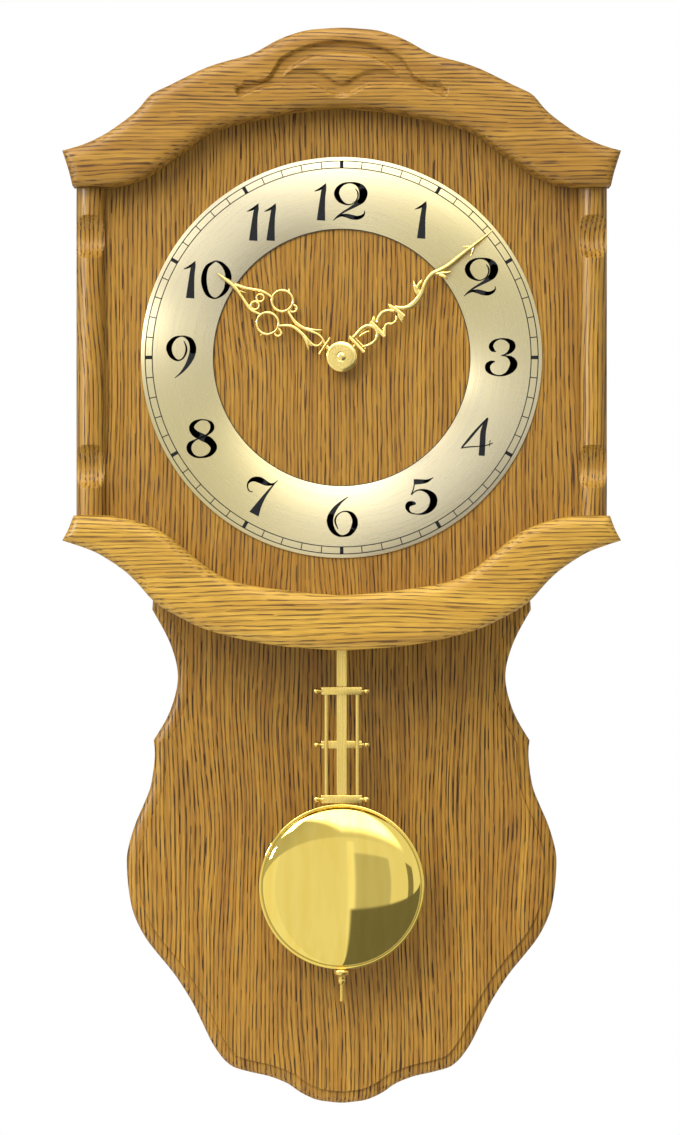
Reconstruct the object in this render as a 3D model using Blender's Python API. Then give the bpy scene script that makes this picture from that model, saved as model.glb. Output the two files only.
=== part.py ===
# A wall clock with an oak case, a quartz pendulum movement, pierced hands and a brass pendulum.
# Metres, +Z up. The front faces -Y, and the wall is the plane y = 0.
# The origin is the hang point: the upper end of the keyhole slot in the hanger plate, on the wall plane.
# Heights below are measured from the dial axis, which lies hang_drop under the origin.

import math

import bmesh
import bpy
from mathutils import Vector
from mathutils.geometry import tessellate_polygon

mm = 0.001
gap = 0.3 * mm  # left between two pieces that rest on each other

# Dial ring, and the case width that follows from it
hang_drop = 100 * mm
ring_radius = 120 * mm
ring_bore_radius = 76.5 * mm
ring_thickness = 0.8 * mm
ring_margin = 21.5 * mm  # bare panel between the ring and a pilaster
pilaster_width = 17 * mm
pilaster_depth = 11.5 * mm
pilaster_side = 2 * mm  # flat side of a pilaster, before its half round begins
cove_radius = 14 * mm
cove_height = 26 * mm
cove_spacing = 137 * mm
case_half = ring_radius + ring_margin + pilaster_width

# Depths, from the wall forwards
wall_gap = 3 * mm
board_thickness = 16 * mm
case_depth = 71 * mm  # from the back board's rear face to the dial panel's rear face
panel_thickness = 6 * mm
rail_thickness = 25 * mm  # the crown and the lower moulding
side_thickness = 10 * mm
shelf_thickness = 8 * mm  # the case's top and bottom boards

board_rear = -wall_gap
board_front = board_rear - board_thickness
panel_rear = board_rear - case_depth
panel_front = panel_rear - panel_thickness
rail_rear = panel_front - gap
rail_front = rail_rear - rail_thickness

# Crown and lower moulding
rail_overhang = 7.3 * mm  # past the side of the case
crown_reach = 19 * mm  # how far the crown's ends come down past the top of the ring
crown_height = 93.7 * mm
moulding_reach = 25.2 * mm
moulding_height = 80 * mm
rail_rounding = 5 * mm
carving_depth = 2.5 * mm
carving_height = 64 * mm  # from the crown's seat to the middle of the carving

crown_end_inset = 3.8 * mm  # the upper corner of the crown's end, in from the end's line
crown_end_height = 9 * mm
crown_toe_inset = 6 * mm
moulding_end_inset = 3.6 * mm
moulding_end_drop = 8 * mm
moulding_toe_inset = 6.6 * mm
arch_span = 0.79  # of the case's half width
arch_rise = 52 * mm
arch_drop = 62 * mm

rail_half = case_half + rail_overhang
crown_seat = ring_radius - crown_reach
moulding_seat = moulding_reach - ring_radius
moulding_bottom = moulding_seat - moulding_height
case_top_level = crown_seat + 17 * mm
case_bottom_level = moulding_seat - 5.2 * mm

# Lower part of the back board
board_half = 132 * mm
board_drop = 280 * mm  # from the lower moulding to the board's lowest point
board_chamfer = 5 * mm
neck_half = 113 * mm
access_margin = 6 * mm  # round the movement

# Hanger, wall pads and wood screws
hanger_width = 50 * mm
hanger_height = 26 * mm
hanger_thickness = 1.2 * mm
hanger_screw_spacing = 38 * mm
keyhole_entry_radius = 5 * mm
keyhole_slot_half = 2.2 * mm
keyhole_length = 13 * mm  # from the entry's centre to the hang point
pocket_depth = 9 * mm
pocket_half = 8 * mm
clear = 5 * mm  # how far a cutter runs past the face it cuts
pad_radius = 7 * mm
pad_spacing = 180 * mm
pad_height = -330 * mm
screw_shank_radius = 1.75 * mm
screw_head_radius = 3.5 * mm
board_screw_length = 30 * mm
board_screw_spacing = 220 * mm
hanger_screw_length = 12 * mm

# Movement
movement_top = 28 * mm
movement_bottom = -44 * mm
movement_depth = 24 * mm
movement_wall = 1.5 * mm
gasket_thickness = 1 * mm
gasket_radius = 14 * mm
bush_radius = 4 * mm
bush_bore_radius = 2.9 * mm
bush_flange_radius = 7 * mm
bush_flange_thickness = 0.8 * mm
bush_reach = 5 * mm  # in front of the dial panel
nut_across_flats = 11 * mm
nut_thickness = 2.5 * mm
washer_radius = 7.5 * mm
washer_thickness = 0.6 * mm
hour_pipe_radius = 2.55 * mm
hour_pipe_bore = 1.9 * mm
minute_arbor_radius = 1.55 * mm
wheel_thickness = 0.8 * mm
pinion_thickness = 1.4 * mm
pivot_radius = 0.6 * mm
running_gap = 0.25 * mm
motion_arbor_radius = 1.2 * mm
knob_radius = 5.6 * mm
knob_groove = 0.5 * mm
knob_height = 5 * mm
knob_hub_radius = 2.6 * mm
knob_hub_height = 1 * mm
knob_gap = 0.8 * mm  # between the knob and the movement's rear
rotor_magnet_radius = 2.8 * mm
bridge_bottom = -24 * mm

# Step motor
stator_half = 9.5 * mm
stator_low = -10 * mm
stator_limb = 3 * mm
stator_thickness = 1 * mm
stator_offset = 4.6 * mm  # behind the train bridge
stator_window_low = -5.4 * mm
stator_core_low = -7.6 * mm
stator_bore = 3.4 * mm
motor_coil_bore = 1.7 * mm
motor_coil_radius = 3 * mm
motor_coil_half = 6.2 * mm
circuit_half = 9 * mm
circuit_low = -13 * mm
circuit_high = 10 * mm
circuit_thickness = 1 * mm
circuit_gap = 0.8 * mm

movement_front = panel_rear + gap + gasket_thickness + gap
movement_rear = movement_front + movement_depth
cover_front = movement_rear - movement_wall
inside_front = movement_front + movement_wall
bridge_front = inside_front + 10.5 * mm
bridge_thickness = 1 * mm
bridge_rear = bridge_front + bridge_thickness

# Battery bay, to the right of the wheels as seen from the front
bay_wall = 1.5 * mm
bay_left = 12 * mm
battery_radius = 7.1 * mm
battery_length = 49 * mm
battery_nub_radius = 2.7 * mm
battery_nub_length = 1.3 * mm
bay_depth = 2 * battery_radius + 1.3 * mm
contact_half_depth = 6 * mm
battery_play = 0.4 * mm  # between the lower contact and the cell
movement_half_width = bay_left + 2 * battery_radius + movement_wall + gap
access_half_width = movement_half_width + access_margin
contact_thickness = 0.5 * mm
contact_width = 9 * mm

# Hands
hand_thickness = 0.5 * mm
hour_hand_length = 89.5 * mm
minute_hand_length = 117.2 * mm
hour_hub_radius = 5 * mm
minute_hub_radius = 4.2 * mm
loop_at = 48.4 * mm  # the hour hand's two rings: how far out, how far to the side, and their size
loop_off = 7.6 * mm
loop_radius = 7.2 * mm
loop_wire = 1.6 * mm
hour_hand_offset = 1.5 * mm  # in front of the bush
minute_hand_offset = 2.5 * mm  # in front of the hour hand
cap_radius = 9.2 * mm
cap_thickness = 2.2 * mm
hour_at_rest = 304  # degrees clockwise from twelve
minute_at_rest = 50

# Pendulum
pivot_height = -18 * mm
swing_pin_radius = 1 * mm
swing_slot_half = 30 * mm  # the slot in the case's floor that the pendulum swings in
swing_slot_depth = 10 * mm
leaf_slot_half = 9.5 * mm
magnet_radius = 3.2 * mm
magnet_thickness = 2 * mm
drive_coil_bore = 2.5 * mm
drive_coil_thickness = 1 * mm
drive_gap = 0.8 * mm  # between the swinging magnet and its coil
hook_eye_radius = 1.7 * mm
hook_peg_radius = 1.2 * mm
hook_drop = 4 * mm  # from the strip's top to the peg
leaf_width = 8 * mm
leaf_length = 36 * mm  # from the pivot to its lower end
leaf_thickness = 0.8 * mm
magnet_drop = 17 * mm  # below the pivot
drive_coil_radius = 6.5 * mm
strip_width = 6 * mm
strip_thickness = 0.8 * mm
strip_top = -47 * mm
bar_width = 24.6 * mm
bar_height = 4.8 * mm
bar_thickness = 1.2 * mm
finial_radius = 1.9 * mm
finial_neck = 0.45  # of the finial's radius
finial_reach = 17 * mm  # from the pendulum's middle to a finial's tip
first_bar_drop = 25.2 * mm  # below the lower moulding
bar_spacing = 32.7 * mm
side_rod_radius = 1.1 * mm
side_rod_spacing = 18.8 * mm
bob_radius = 50 * mm
bob_dome = 9 * mm
bob_sheet = 0.8 * mm
bob_rim = 1.5 * mm
threaded_rod_radius = 1.3 * mm
nut_flange_radius = 5 * mm
nut_flange_height = 3.4 * mm
nut_end_radius = 2.8 * mm
nut_height = 9 * mm
rod_past_nut = 10 * mm

pendulum_plane = (bridge_rear + cover_front) / 2 - 1.6 * mm
last_bar = moulding_bottom - first_bar_drop - 2 * bar_spacing
bob_height = last_bar - bar_height / 2 - 0.5 * mm - bob_radius
nut_top = bob_height - bob_radius - gap

# Shapes that are drawn in proportion to the piece: across is 1 at its half width, up is 1 at its height
crown_upper_edge = [
    (0, 1), (0.12, 0.985), (0.21, 0.937), (0.27, 0.882), (0.33, 0.828), (0.42, 0.785), (0.5, 0.736),
    (0.616, 0.636), (0.68, 0.58), (0.712, 0.518), (0.752, 0.446), (0.844, 0.33), (0.93, 0.258), (1, 0.222),
]
crown_lower_edge = [
    (0.839, 0), (0.768, 0.021), (0.686, 0.082), (0.607, 0.177), (0.536, 0.266), (0.48, 0.342),
    (0.393, 0.398), (0.293, 0.437), (0.154, 0.485), (0, 0.506),
]
moulding_upper_edge = [
    (0, 0.593), (0.1, 0.578), (0.221, 0.55), (0.361, 0.504), (0.45, 0.431), (0.525, 0.319), (0.593, 0.2),
    (0.66, 0.104), (0.75, 0.034), (0.839, 0),
]
moulding_lower_edge = [
    (1, 0.185), (0.913, 0.245), (0.853, 0.304), (0.77, 0.423), (0.714, 0.541), (0.685, 0.61),
    (0.64, 0.685), (0.564, 0.771), (0.496, 0.837), (0.361, 0.916), (0.2, 0.972), (0, 1),
]
board_waist = [(0.882, -0.083), (0.8, -0.01), (0.763, 0.064), (0.8, 0.14), (0.876, 0.204)]
board_edge = [
    (0.876, 0.204), (0.871, 0.24), (0.893, 0.31), (0.955, 0.38), (0.994, 0.44), (1, 0.489),
    (0.976, 0.573), (0.907, 0.642), (0.786, 0.713), (0.691, 0.783), (0.625, 0.848), (0.576, 0.888),
    (0.5, 0.922), (0.342, 0.941), (0.25, 0.958), (0.195, 0.976), (0.11, 0.994), (0, 1),
]
# The carving on the crown, from its left tip to its middle, in metres from the middle of the carving
ground_upper_edge = [
    (-62.3 * mm, -12 * mm), (-54 * mm, -3.5 * mm), (-43.2 * mm, 3.6 * mm), (-38 * mm, 11.3 * mm),
    (-24.3 * mm, 17.8 * mm), (-13.6 * mm, 20.6 * mm), (0, 21.7 * mm),
]
ground_lower_edge = [
    (-58 * mm, -11.2 * mm), (-50.3 * mm, -8.2 * mm), (-39 * mm, -5.3 * mm), (-30 * mm, -4.3 * mm),
    (-19 * mm, -5 * mm), (-11.8 * mm, -7.6 * mm), (0, -12.1 * mm),
]
lens_upper_edge = [(-37.1 * mm, 0), (-30.2 * mm, 7.1 * mm), (-18.9 * mm, 11.9 * mm), (0, 14.5 * mm)]
lens_lower_edge = [(-28.4 * mm, 0.9 * mm), (-18.9 * mm, 1 * mm), (-11.8 * mm, -1.1 * mm), (0, -5.5 * mm)]

# Wheels: teeth and module. The two motion pairs share one centre distance, 12 mm.
cannon_teeth, motion_teeth, motion_module = 12, 36, 0.5 * mm
motion_pinion_teeth, hour_teeth, hour_module = 12, 48, 0.4 * mm
centre_teeth, third_pinion_teeth, third_module = 60, 8, 0.33 * mm
third_teeth, second_pinion_teeth, second_module = 64, 8, 0.25 * mm
second_teeth, step_pinion_teeth, step_module = 60, 10, 0.25 * mm
step_teeth, rotor_teeth, rotor_module = 50, 10, 0.25 * mm
tooth_tip, tooth_root = 0.8, 1.15  # in modules from the pitch circle
motion_direction = 180  # degrees, seen from the front, from +X towards +Z
third_direction = 110
second_direction = 170
step_direction = 56
rotor_direction = 0


# ---- helpers ----


def linear(hex_colour):
    """The linear colour of an sRGB hex code."""
    parts = [int(hex_colour[i : i + 2], 16) / 255 for i in (0, 2, 4)]
    return [c / 12.92 if c <= 0.04045 else ((c + 0.055) / 1.055) ** 2.4 for c in parts] + [1]


def make_material(name, hex_colour, roughness, metallic=0.0):
    material = bpy.data.materials.new(name)
    material.use_nodes = True
    shader = material.node_tree.nodes["Principled BSDF"]
    shader.inputs["Base Color"].default_value = linear(hex_colour)
    shader.inputs["Roughness"].default_value = roughness
    shader.inputs["Metallic"].default_value = metallic
    material.diffuse_color = linear(hex_colour)
    return material


def make_empty(name, parent=None, x=0.0, y=0.0, z=0.0):
    empty = bpy.data.objects.new(name, None)
    bpy.context.scene.collection.objects.link(empty)
    empty.parent = parent
    empty.location = (x, y, z)
    return empty


def make_object(name, shape, finish, parent, x=0.0, y=0.0, z=0.0):
    """An object from a bmesh, with its own copy of the finish."""
    bmesh.ops.recalc_face_normals(shape, faces=shape.faces)
    mesh = bpy.data.meshes.new(name)
    shape.to_mesh(mesh)
    shape.free()
    mesh.shade_smooth()
    mesh.set_sharp_from_angle(angle=math.radians(32))
    mesh.materials.append(make_material(name, *finish))
    made = bpy.data.objects.new(name, mesh)
    bpy.context.scene.collection.objects.link(made)
    made.parent = parent
    made.location = (x, y, z)
    return made


def make_cutter(name, shape, parent, x=0.0, y=0.0, z=0.0):
    cutter = make_object(name, shape, ("FF0000", 0.5), parent, x, y, z)
    cutter.hide_render = True
    cutter.display_type = "WIRE"
    return cutter


def cut(target, cutter):
    modifier = target.modifiers.new("cut " + cutter.name, "BOOLEAN")
    modifier.operation = "DIFFERENCE"
    modifier.object = cutter


def join(target, other):
    modifier = target.modifiers.new("join " + other.name, "BOOLEAN")
    modifier.operation = "UNION"
    modifier.object = other


def curve_through(points, steps):
    """A smooth line through the points, with the given number of steps between each two."""
    ends = [points[0]] + list(points) + [points[-1]]
    line = []
    for a, b, c, d in zip(ends, ends[1:], ends[2:], ends[3:]):
        for i in range(steps):
            t = i / steps
            line.append(
                tuple(
                    0.5 * (2 * q + (r - p) * t + (2 * p - 5 * q + 4 * r - s) * t * t + (3 * q - p - 3 * r + s) * t**3)
                    for p, q, r, s in zip(a, b, c, d)
                )
            )
    return line + [tuple(points[-1])]


def arc(x, z, radius, start, end, steps):
    """Points on a circle, from start to end in degrees, from +X towards +Z."""
    angles = [math.radians(start + (end - start) * i / steps) for i in range(steps + 1)]
    return [(x + radius * math.cos(a), z + radius * math.sin(a)) for a in angles]


def circle(x, z, radius, segments):
    return arc(x, z, radius, 0, 360, segments)[:-1]


def mirrored(half):
    """A closed outline from its right half, which runs from the middle line round to the middle line."""
    return half + [(-x, z) for x, z in reversed(half) if x > 1e-7]


def prism(outline, front, rear):
    """A block with the outline in X and Z, between two depths."""
    shape = bmesh.new()
    face = shape.faces.new([shape.verts.new((x, front, z)) for x, z in outline])
    raised = bmesh.ops.extrude_face_region(shape, geom=[face])
    moved = [v for v in raised["geom"] if isinstance(v, bmesh.types.BMVert)]
    bmesh.ops.translate(shape, verts=moved, vec=(0, rear - front, 0))
    return shape


def round_front(shape, front, radius, steps, lowest=-10.0, highest=10.0):
    """Rounds the edge round a prism's front face, between two heights."""
    edges = []
    for edge in shape.edges:
        on_front = all(abs(v.co.y - front) < 1e-6 for v in edge.verts)
        if on_front and all(lowest < v.co.z < highest for v in edge.verts):
            edges.append(edge)
    bmesh.ops.bevel(shape, geom=edges, offset=radius, segments=steps, profile=0.5, affect="EDGES")
    return shape


def fill(shape, loops):
    """Faces between loops of vertices that lie in one plane of constant depth: an outline and any holes in it."""
    flat = [[Vector((v.co.x, v.co.z, 0)) for v in loop] for loop in loops]
    every = [v for loop in loops for v in loop]
    for corners in tessellate_polygon(flat):
        shape.faces.new([every[i] for i in corners])


def layered(sections, holes=()):
    """One body from outlines stacked along Y. Each section is (outline, front, rear), and holes run right through."""
    shape = bmesh.new()
    loops = []
    for outline, front, rear in sections:
        loops.append([[shape.verts.new((x, y, z)) for x, z in outline] for y in (front, rear)])
    bores = []
    for hole in holes:
        depths = (sections[0][1], sections[-1][2])
        bores.append([[shape.verts.new((x, y, z)) for x, z in hole] for y in depths])
    for first, last in loops + bores:
        for i in range(len(first)):
            shape.faces.new((first[i - 1], first[i], last[i], last[i - 1]))
    fill(shape, [loops[0][0]] + [bore[0] for bore in bores])
    fill(shape, [loops[-1][1]] + [bore[1] for bore in bores])
    for one, other in zip(loops, loops[1:]):
        pair = [one[1], other[0]]
        pair.sort(key=lambda loop: -max(math.hypot(v.co.x, v.co.z) for v in loop))
        fill(shape, pair)
    return shape


def turned(profile, segments, axis="Y"):
    """A turned body. The profile is a list of (radius, place along the axis), closed if it never meets the axis."""
    shape = bmesh.new()
    verts = [shape.verts.new((radius, along, 0)) for radius, along in profile]
    open_profile = profile[0][0] == 0
    pairs = list(zip(verts, verts[1:]))
    if not open_profile:
        pairs.append((verts[-1], verts[0]))
    edges = [shape.edges.new(pair) for pair in pairs]
    bmesh.ops.spin(
        shape, geom=verts + edges, cent=(0, 0, 0), axis=(0, 1, 0), angle=2 * math.pi, steps=segments,
        use_merge=True,
    )
    bmesh.ops.remove_doubles(shape, verts=shape.verts, dist=1e-6)
    if axis != "Y":
        for vert in shape.verts:
            x, y, z = vert.co
            vert.co = (x, -z, y) if axis == "Z" else (y, x, z)
    return shape


def box(x_range, y_range, z_range):
    x0, x1 = x_range
    z0, z1 = z_range
    return prism([(x0, z0), (x1, z0), (x1, z1), (x0, z1)], *y_range)


def polar(radius, degrees):
    return radius * math.cos(math.radians(degrees)), radius * math.sin(math.radians(degrees))


# ---- finishes: colour, roughness, metallic ----

oak = ("BE8737", 0.5)
oak_dark = ("A9752F", 0.55)
plywood = ("C79A5B", 0.6)
dial_metal = ("DCCB9A", 0.3, 1.0)
brass = ("D9B65A", 0.22, 1.0)
brass_satin = ("C9A552", 0.35, 1.0)
steel = ("B9BBBD", 0.35, 1.0)
zinc = ("A8ABB0", 0.45, 1.0)
black_plastic = ("1C1C1E", 0.45)
white_plastic = ("E8E6DF", 0.4)
black_rubber = ("222222", 0.8)
copper = ("B5693A", 0.35, 1.0)
green_board = ("2F6B3C", 0.5)
battery_wrap = ("3B4A5C", 0.35)
magnet_grey = ("55565A", 0.4, 1.0)


# ---- case ----


def scaled(points, across, base, height):
    return [(x * across, base + z * height) for x, z in points]


def crown_outline():
    upper = scaled(curve_through(crown_upper_edge, 2), rail_half, crown_seat, crown_height)
    end = [(rail_half - crown_end_inset, crown_seat + crown_end_height), (rail_half - crown_toe_inset, crown_seat)]
    lower = scaled(curve_through(crown_lower_edge, 2), rail_half, crown_seat, crown_height)
    return mirrored(upper + end + lower)


def moulding_outline():
    upper = scaled(curve_through(moulding_upper_edge, 2), rail_half, moulding_seat, -moulding_height)
    end = [(rail_half - moulding_toe_inset, moulding_seat)]
    end += [(rail_half - moulding_end_inset, moulding_seat - moulding_end_drop)]
    lower = scaled(curve_through(moulding_lower_edge, 2), rail_half, moulding_seat, -moulding_height)
    return mirrored(upper + end + lower)


def board_outline():
    top = [(0, case_top_level), (case_half - side_thickness - gap, case_top_level)]
    shelf = case_bottom_level - gap
    neck = [(case_half - side_thickness - gap, shelf), (neck_half, shelf)]
    waist = scaled(curve_through(board_waist, 3)[:-1], board_half, moulding_bottom, -board_drop)
    edge = scaled(curve_through(board_edge, 2), board_half, moulding_bottom, -board_drop)
    return mirrored(top + neck + waist + edge)


def panel_outline():
    """The dial panel: as wide as the case, and arched behind the crown and the lower moulding."""
    arch_half = arch_span * case_half
    top_rise, bottom_drop = arch_rise, arch_drop
    half = []
    for level, rise in ((case_top_level, top_rise), (case_bottom_level, -bottom_drop)):
        radius = (arch_half**2 + rise**2) / (2 * abs(rise))
        sweep = math.degrees(math.asin(arch_half / radius))
        middle = level + rise - math.copysign(radius, rise)
        turn = math.copysign(1, rise)
        arch = [(x, middle + turn * (z - middle)) for x, z in arc(0, middle, radius, 90, 90 - sweep, 9)]
        corner = [(case_half, level)]
        half += arch + corner if rise > 0 else corner + arch[::-1]
    half[0] = (0, half[0][1])
    half[-1] = (0, half[-1][1])
    return mirrored(half)


def half_round_trip(upper, lower, middle):
    """A closed outline from the left halves of its upper and lower edges, both drawn from the tip to the middle."""
    over = [(-x, middle + z) for x, z in reversed(curve_through(upper, 1))]
    under = [(-x, middle + z) for x, z in curve_through(lower, 1)]
    return mirrored(over + under)


def build_crown(dial):
    shape = round_front(prism(crown_outline(), rail_front, rail_rear), rail_front, rail_rounding, 2)
    crown = make_object("crown", shape, oak, dial)
    middle = crown_seat + carving_height
    ground = half_round_trip(ground_upper_edge, ground_lower_edge, middle)
    lens = half_round_trip(lens_upper_edge, lens_lower_edge, middle)
    ground_cut = layered([(ground, rail_front - 2 * mm, rail_front + carving_depth)], [lens])
    cut(crown, make_cutter("carving_cutter", ground_cut, dial))


def build_moulding(dial):
    shape = round_front(prism(moulding_outline(), rail_front, rail_rear), rail_front, rail_rounding, 2)
    make_object("lower_moulding", shape, oak, dial)


def build_pilasters(dial):
    low, high = moulding_seat + gap, crown_seat - gap
    middle = (low + high) / 2
    notch_depth = cove_radius - math.sqrt(cove_radius**2 - (cove_height / 2) ** 2)
    base = panel_front - gap
    for side, name in ((-1, "pilaster_left"), (1, "pilaster_right")):
        shape = bmesh.new()
        across = pilaster_width / 2
        bow = [(across * math.cos(a), base - pilaster_side - (pilaster_depth - pilaster_side) * math.sin(a)) for a in
               [math.pi * i / 8 for i in range(9)]]
        profile = [(across, base)] + bow + [(-across, base)]
        face = shape.faces.new([shape.verts.new((x, y, low)) for x, y in profile])
        raised = bmesh.ops.extrude_face_region(shape, geom=[face])
        moved = [v for v in raised["geom"] if isinstance(v, bmesh.types.BMVert)]
        bmesh.ops.translate(shape, verts=moved, vec=(0, 0, high - low))
        pilaster = make_object(name, shape, oak, dial, x=side * (case_half - across))
        for i, place in enumerate((middle - cove_spacing / 2, middle + cove_spacing / 2)):
            cove = turned([(0, -20 * mm), (cove_radius, -20 * mm), (cove_radius, 20 * mm), (0, 20 * mm)], 24, "X")
            depth = base - pilaster_depth + notch_depth - cove_radius
            cutter = make_cutter(f"{name}_cove_{i + 1}", cove, dial, x=side * (case_half - across), y=depth, z=place)
            cut(pilaster, cutter)


def build_case(dial):
    inner = case_half - side_thickness
    shape = prism(board_outline(), board_front, board_rear)
    round_front(shape, board_front, board_chamfer, 1, highest=moulding_bottom + 30 * mm)
    board = make_object("back_board", shape, oak, dial)
    window = box(
        (-access_half_width, access_half_width), (board_front - clear, board_rear + clear),
        (movement_bottom - access_margin, movement_top + access_margin),
    )
    cut(board, make_cutter("access_cutter", window, dial))
    pocket = box(
        (-pocket_half, pocket_half), (board_rear - pocket_depth, board_rear + clear),
        (hang_drop - keyhole_length - 7 * mm, hang_drop + 5 * mm),
    )
    cut(board, make_cutter("pocket_cutter", pocket, dial))

    for side, name in ((-1, "side_panel_left"), (1, "side_panel_right")):
        span = sorted((side * inner, side * case_half))
        panel = box(span, (panel_rear + gap, board_rear), (case_bottom_level, case_top_level))
        make_object(name, panel, oak, dial)
    shelf = (-inner + gap, inner - gap)
    depth = (panel_rear + gap, board_front - gap)
    top = make_object("case_top", box(shelf, depth, (case_top_level - shelf_thickness, case_top_level)), plywood, dial)
    floor = box(shelf, depth, (case_bottom_level, case_bottom_level + shelf_thickness))
    bottom = make_object("case_bottom", floor, plywood, dial)
    slot = box(
        (-swing_slot_half, swing_slot_half), (pendulum_plane - swing_slot_depth, pendulum_plane + swing_slot_depth),
        (case_bottom_level - clear, case_bottom_level + shelf_thickness + clear),
    )
    cut(bottom, make_cutter("slot_cutter", slot, dial))

    bush_hole = circle(0, 0, bush_radius + gap, 24)
    panel = layered([(panel_outline(), panel_front, panel_rear)], [bush_hole])
    make_object("dial_panel", panel, oak_dark, dial)

    levels = (case_top_level - shelf_thickness / 2, case_bottom_level + shelf_thickness / 2)
    number = 0
    for target, level in ((top, levels[0]), (bottom, levels[1])):
        for side in (-1, 1):
            number += 1
            x = side * board_screw_spacing / 2
            screw = turned(countersunk_profile(0, board_screw_length), 12)
            make_object(f"board_screw_{number}", screw, zinc, dial, x, board_rear - gap, level)
            hole = turned(countersunk_profile(gap, board_screw_length), 12)
            cutter = make_cutter(f"board_screw_{number}_cutter", hole, dial, x, board_rear - gap, level)
            cut(board, cutter)
            cut(target, cutter)
    return board


def countersunk_profile(clearance, length):
    """A countersunk screw, its head at 0 and its point towards -Y, or the hole it goes in."""
    shank, head = screw_shank_radius + clearance, screw_head_radius + clearance
    mouth = 1 * mm if clearance else 0
    profile = [(0, mouth), (head, mouth), (head, -0.4 * mm), (shank, -2.6 * mm), (shank, 2 * mm - length)]
    return profile + [(0, -length - clearance)]


def build_ring(dial):
    front, rear = panel_front - gap - ring_thickness, panel_front - gap
    ring = layered([(circle(0, 0, ring_radius, 80), front, rear)], [circle(0, 0, ring_bore_radius, 60)])
    make_object("dial_ring", ring, dial_metal, dial)


def keyhole():
    """The entry hole with the slot above it. The slot's upper end is the hang point, at height 0."""
    entry = -keyhole_length
    opening = math.degrees(math.asin(keyhole_slot_half / keyhole_entry_radius))
    top = arc(0, -keyhole_slot_half, keyhole_slot_half, 0, 180, 8)
    round_part = arc(0, entry, keyhole_entry_radius, 90 + opening, 450 - opening, 20)
    return top + round_part


def build_hanger(origin, dial, board):
    rear = board_rear + gap + hanger_thickness
    front = board_rear + gap
    low, high = 7 * mm - hanger_height, 7 * mm
    corner = 5 * mm
    half = hanger_width / 2
    outline = arc(half - corner, high - corner, corner, 90, 0, 3) + arc(half - corner, low + corner, corner, 0, -90, 3)
    outline += [(-x, z) for x, z in reversed(outline)]
    height = (low + high) / 2
    holes = [keyhole()]
    for side in (-1, 1):
        holes.append(circle(side * hanger_screw_spacing / 2, height, screw_shank_radius + gap, 12))
    make_object("hanger_plate", layered([(outline, front, rear)], holes), zinc, origin)
    for side, name in ((-1, "hanger_screw_left"), (1, "hanger_screw_right")):
        x = side * hanger_screw_spacing / 2
        head = rear + gap
        profile = [(0, head + 1 * mm), (2.4 * mm, head + 1 * mm), (screw_head_radius, head + 0.4 * mm)]
        profile += [(screw_head_radius, head), (screw_shank_radius, head)]
        profile += [(screw_shank_radius, head - hanger_screw_length + 2 * mm), (0, head - hanger_screw_length)]
        make_object(name, turned(profile, 12), zinc, origin, x=x, z=height)
        hole = [(0, 0), (screw_shank_radius + gap, 0), (screw_shank_radius + gap, head - hanger_screw_length)]
        hole += [(0, head - hanger_screw_length - 2 * gap)]
        cutter = make_cutter(name + "_cutter", turned(hole, 12), origin, x=x, z=height)
        cut(board, cutter)
    for side, name in ((-1, "wall_pad_left"), (1, "wall_pad_right")):
        pad = layered([(circle(0, 0, pad_radius, 20), board_rear + gap, 0)])
        make_object(name, pad, black_rubber, dial, x=side * pad_spacing / 2, z=pad_height)


# ---- movement ----


def gear_outline(teeth, module, phase):
    """Pointed teeth with room round them. phase is a tooth's angle in degrees, from +X towards +Z."""
    pitch = module * teeth / 2
    tip, root = pitch + tooth_tip * module, pitch - tooth_root * module
    step = 360 / teeth
    outline = []
    for i in range(teeth):
        outline.append(polar(tip, phase + i * step))
        outline.append(polar(root, phase + (i + 0.5) * step))
    return outline


def meshed_phase(teeth, phase, other_teeth, direction):
    """The phase of a wheel that meshes with one of the given teeth and phase, standing in that direction from it."""
    return direction + 180 - (phase - direction) * teeth / other_teeth + 180 / other_teeth


def wheel_places():
    """Each wheel's centre and the phase of its teeth, from the centre wheel outwards."""
    places = {"centre": (0.0, 0.0)}
    places["motion"] = polar((cannon_teeth + motion_teeth) * motion_module / 2, motion_direction)
    steps = (
        ("third", "centre", (centre_teeth + third_pinion_teeth) * third_module / 2, third_direction),
        ("second", "third", (third_teeth + second_pinion_teeth) * second_module / 2, second_direction),
        ("step", "second", (second_teeth + step_pinion_teeth) * step_module / 2, step_direction),
        ("rotor", "step", (step_teeth + rotor_teeth) * rotor_module / 2, rotor_direction),
    )
    for name, before, distance, direction in steps:
        dx, dz = polar(distance, direction)
        places[name] = (places[before][0] + dx, places[before][1] + dz)
    phases = {
        "motion": meshed_phase(cannon_teeth, 0, motion_teeth, motion_direction),
        "hour": meshed_phase(motion_pinion_teeth, 0, hour_teeth, motion_direction + 180),
        "third_pinion": meshed_phase(centre_teeth, 0, third_pinion_teeth, third_direction),
        "second_pinion": meshed_phase(third_teeth, 0, second_pinion_teeth, second_direction),
        "step_pinion": meshed_phase(second_teeth, 0, step_pinion_teeth, step_direction),
        "rotor": meshed_phase(step_teeth, 0, rotor_teeth, rotor_direction),
    }
    return places, phases


def levels():
    """The front of each wheel, from the dial backwards."""
    first = inside_front + 0.6 * mm
    pitch = wheel_thickness + 0.95 * mm
    return {name: first + i * pitch for i, name in enumerate(("hour", "motion", "centre", "third", "second", "step"))}


def arbor(radius, front, rear, segments=12):
    return (circle(0, 0, radius, segments), front, rear)


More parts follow.
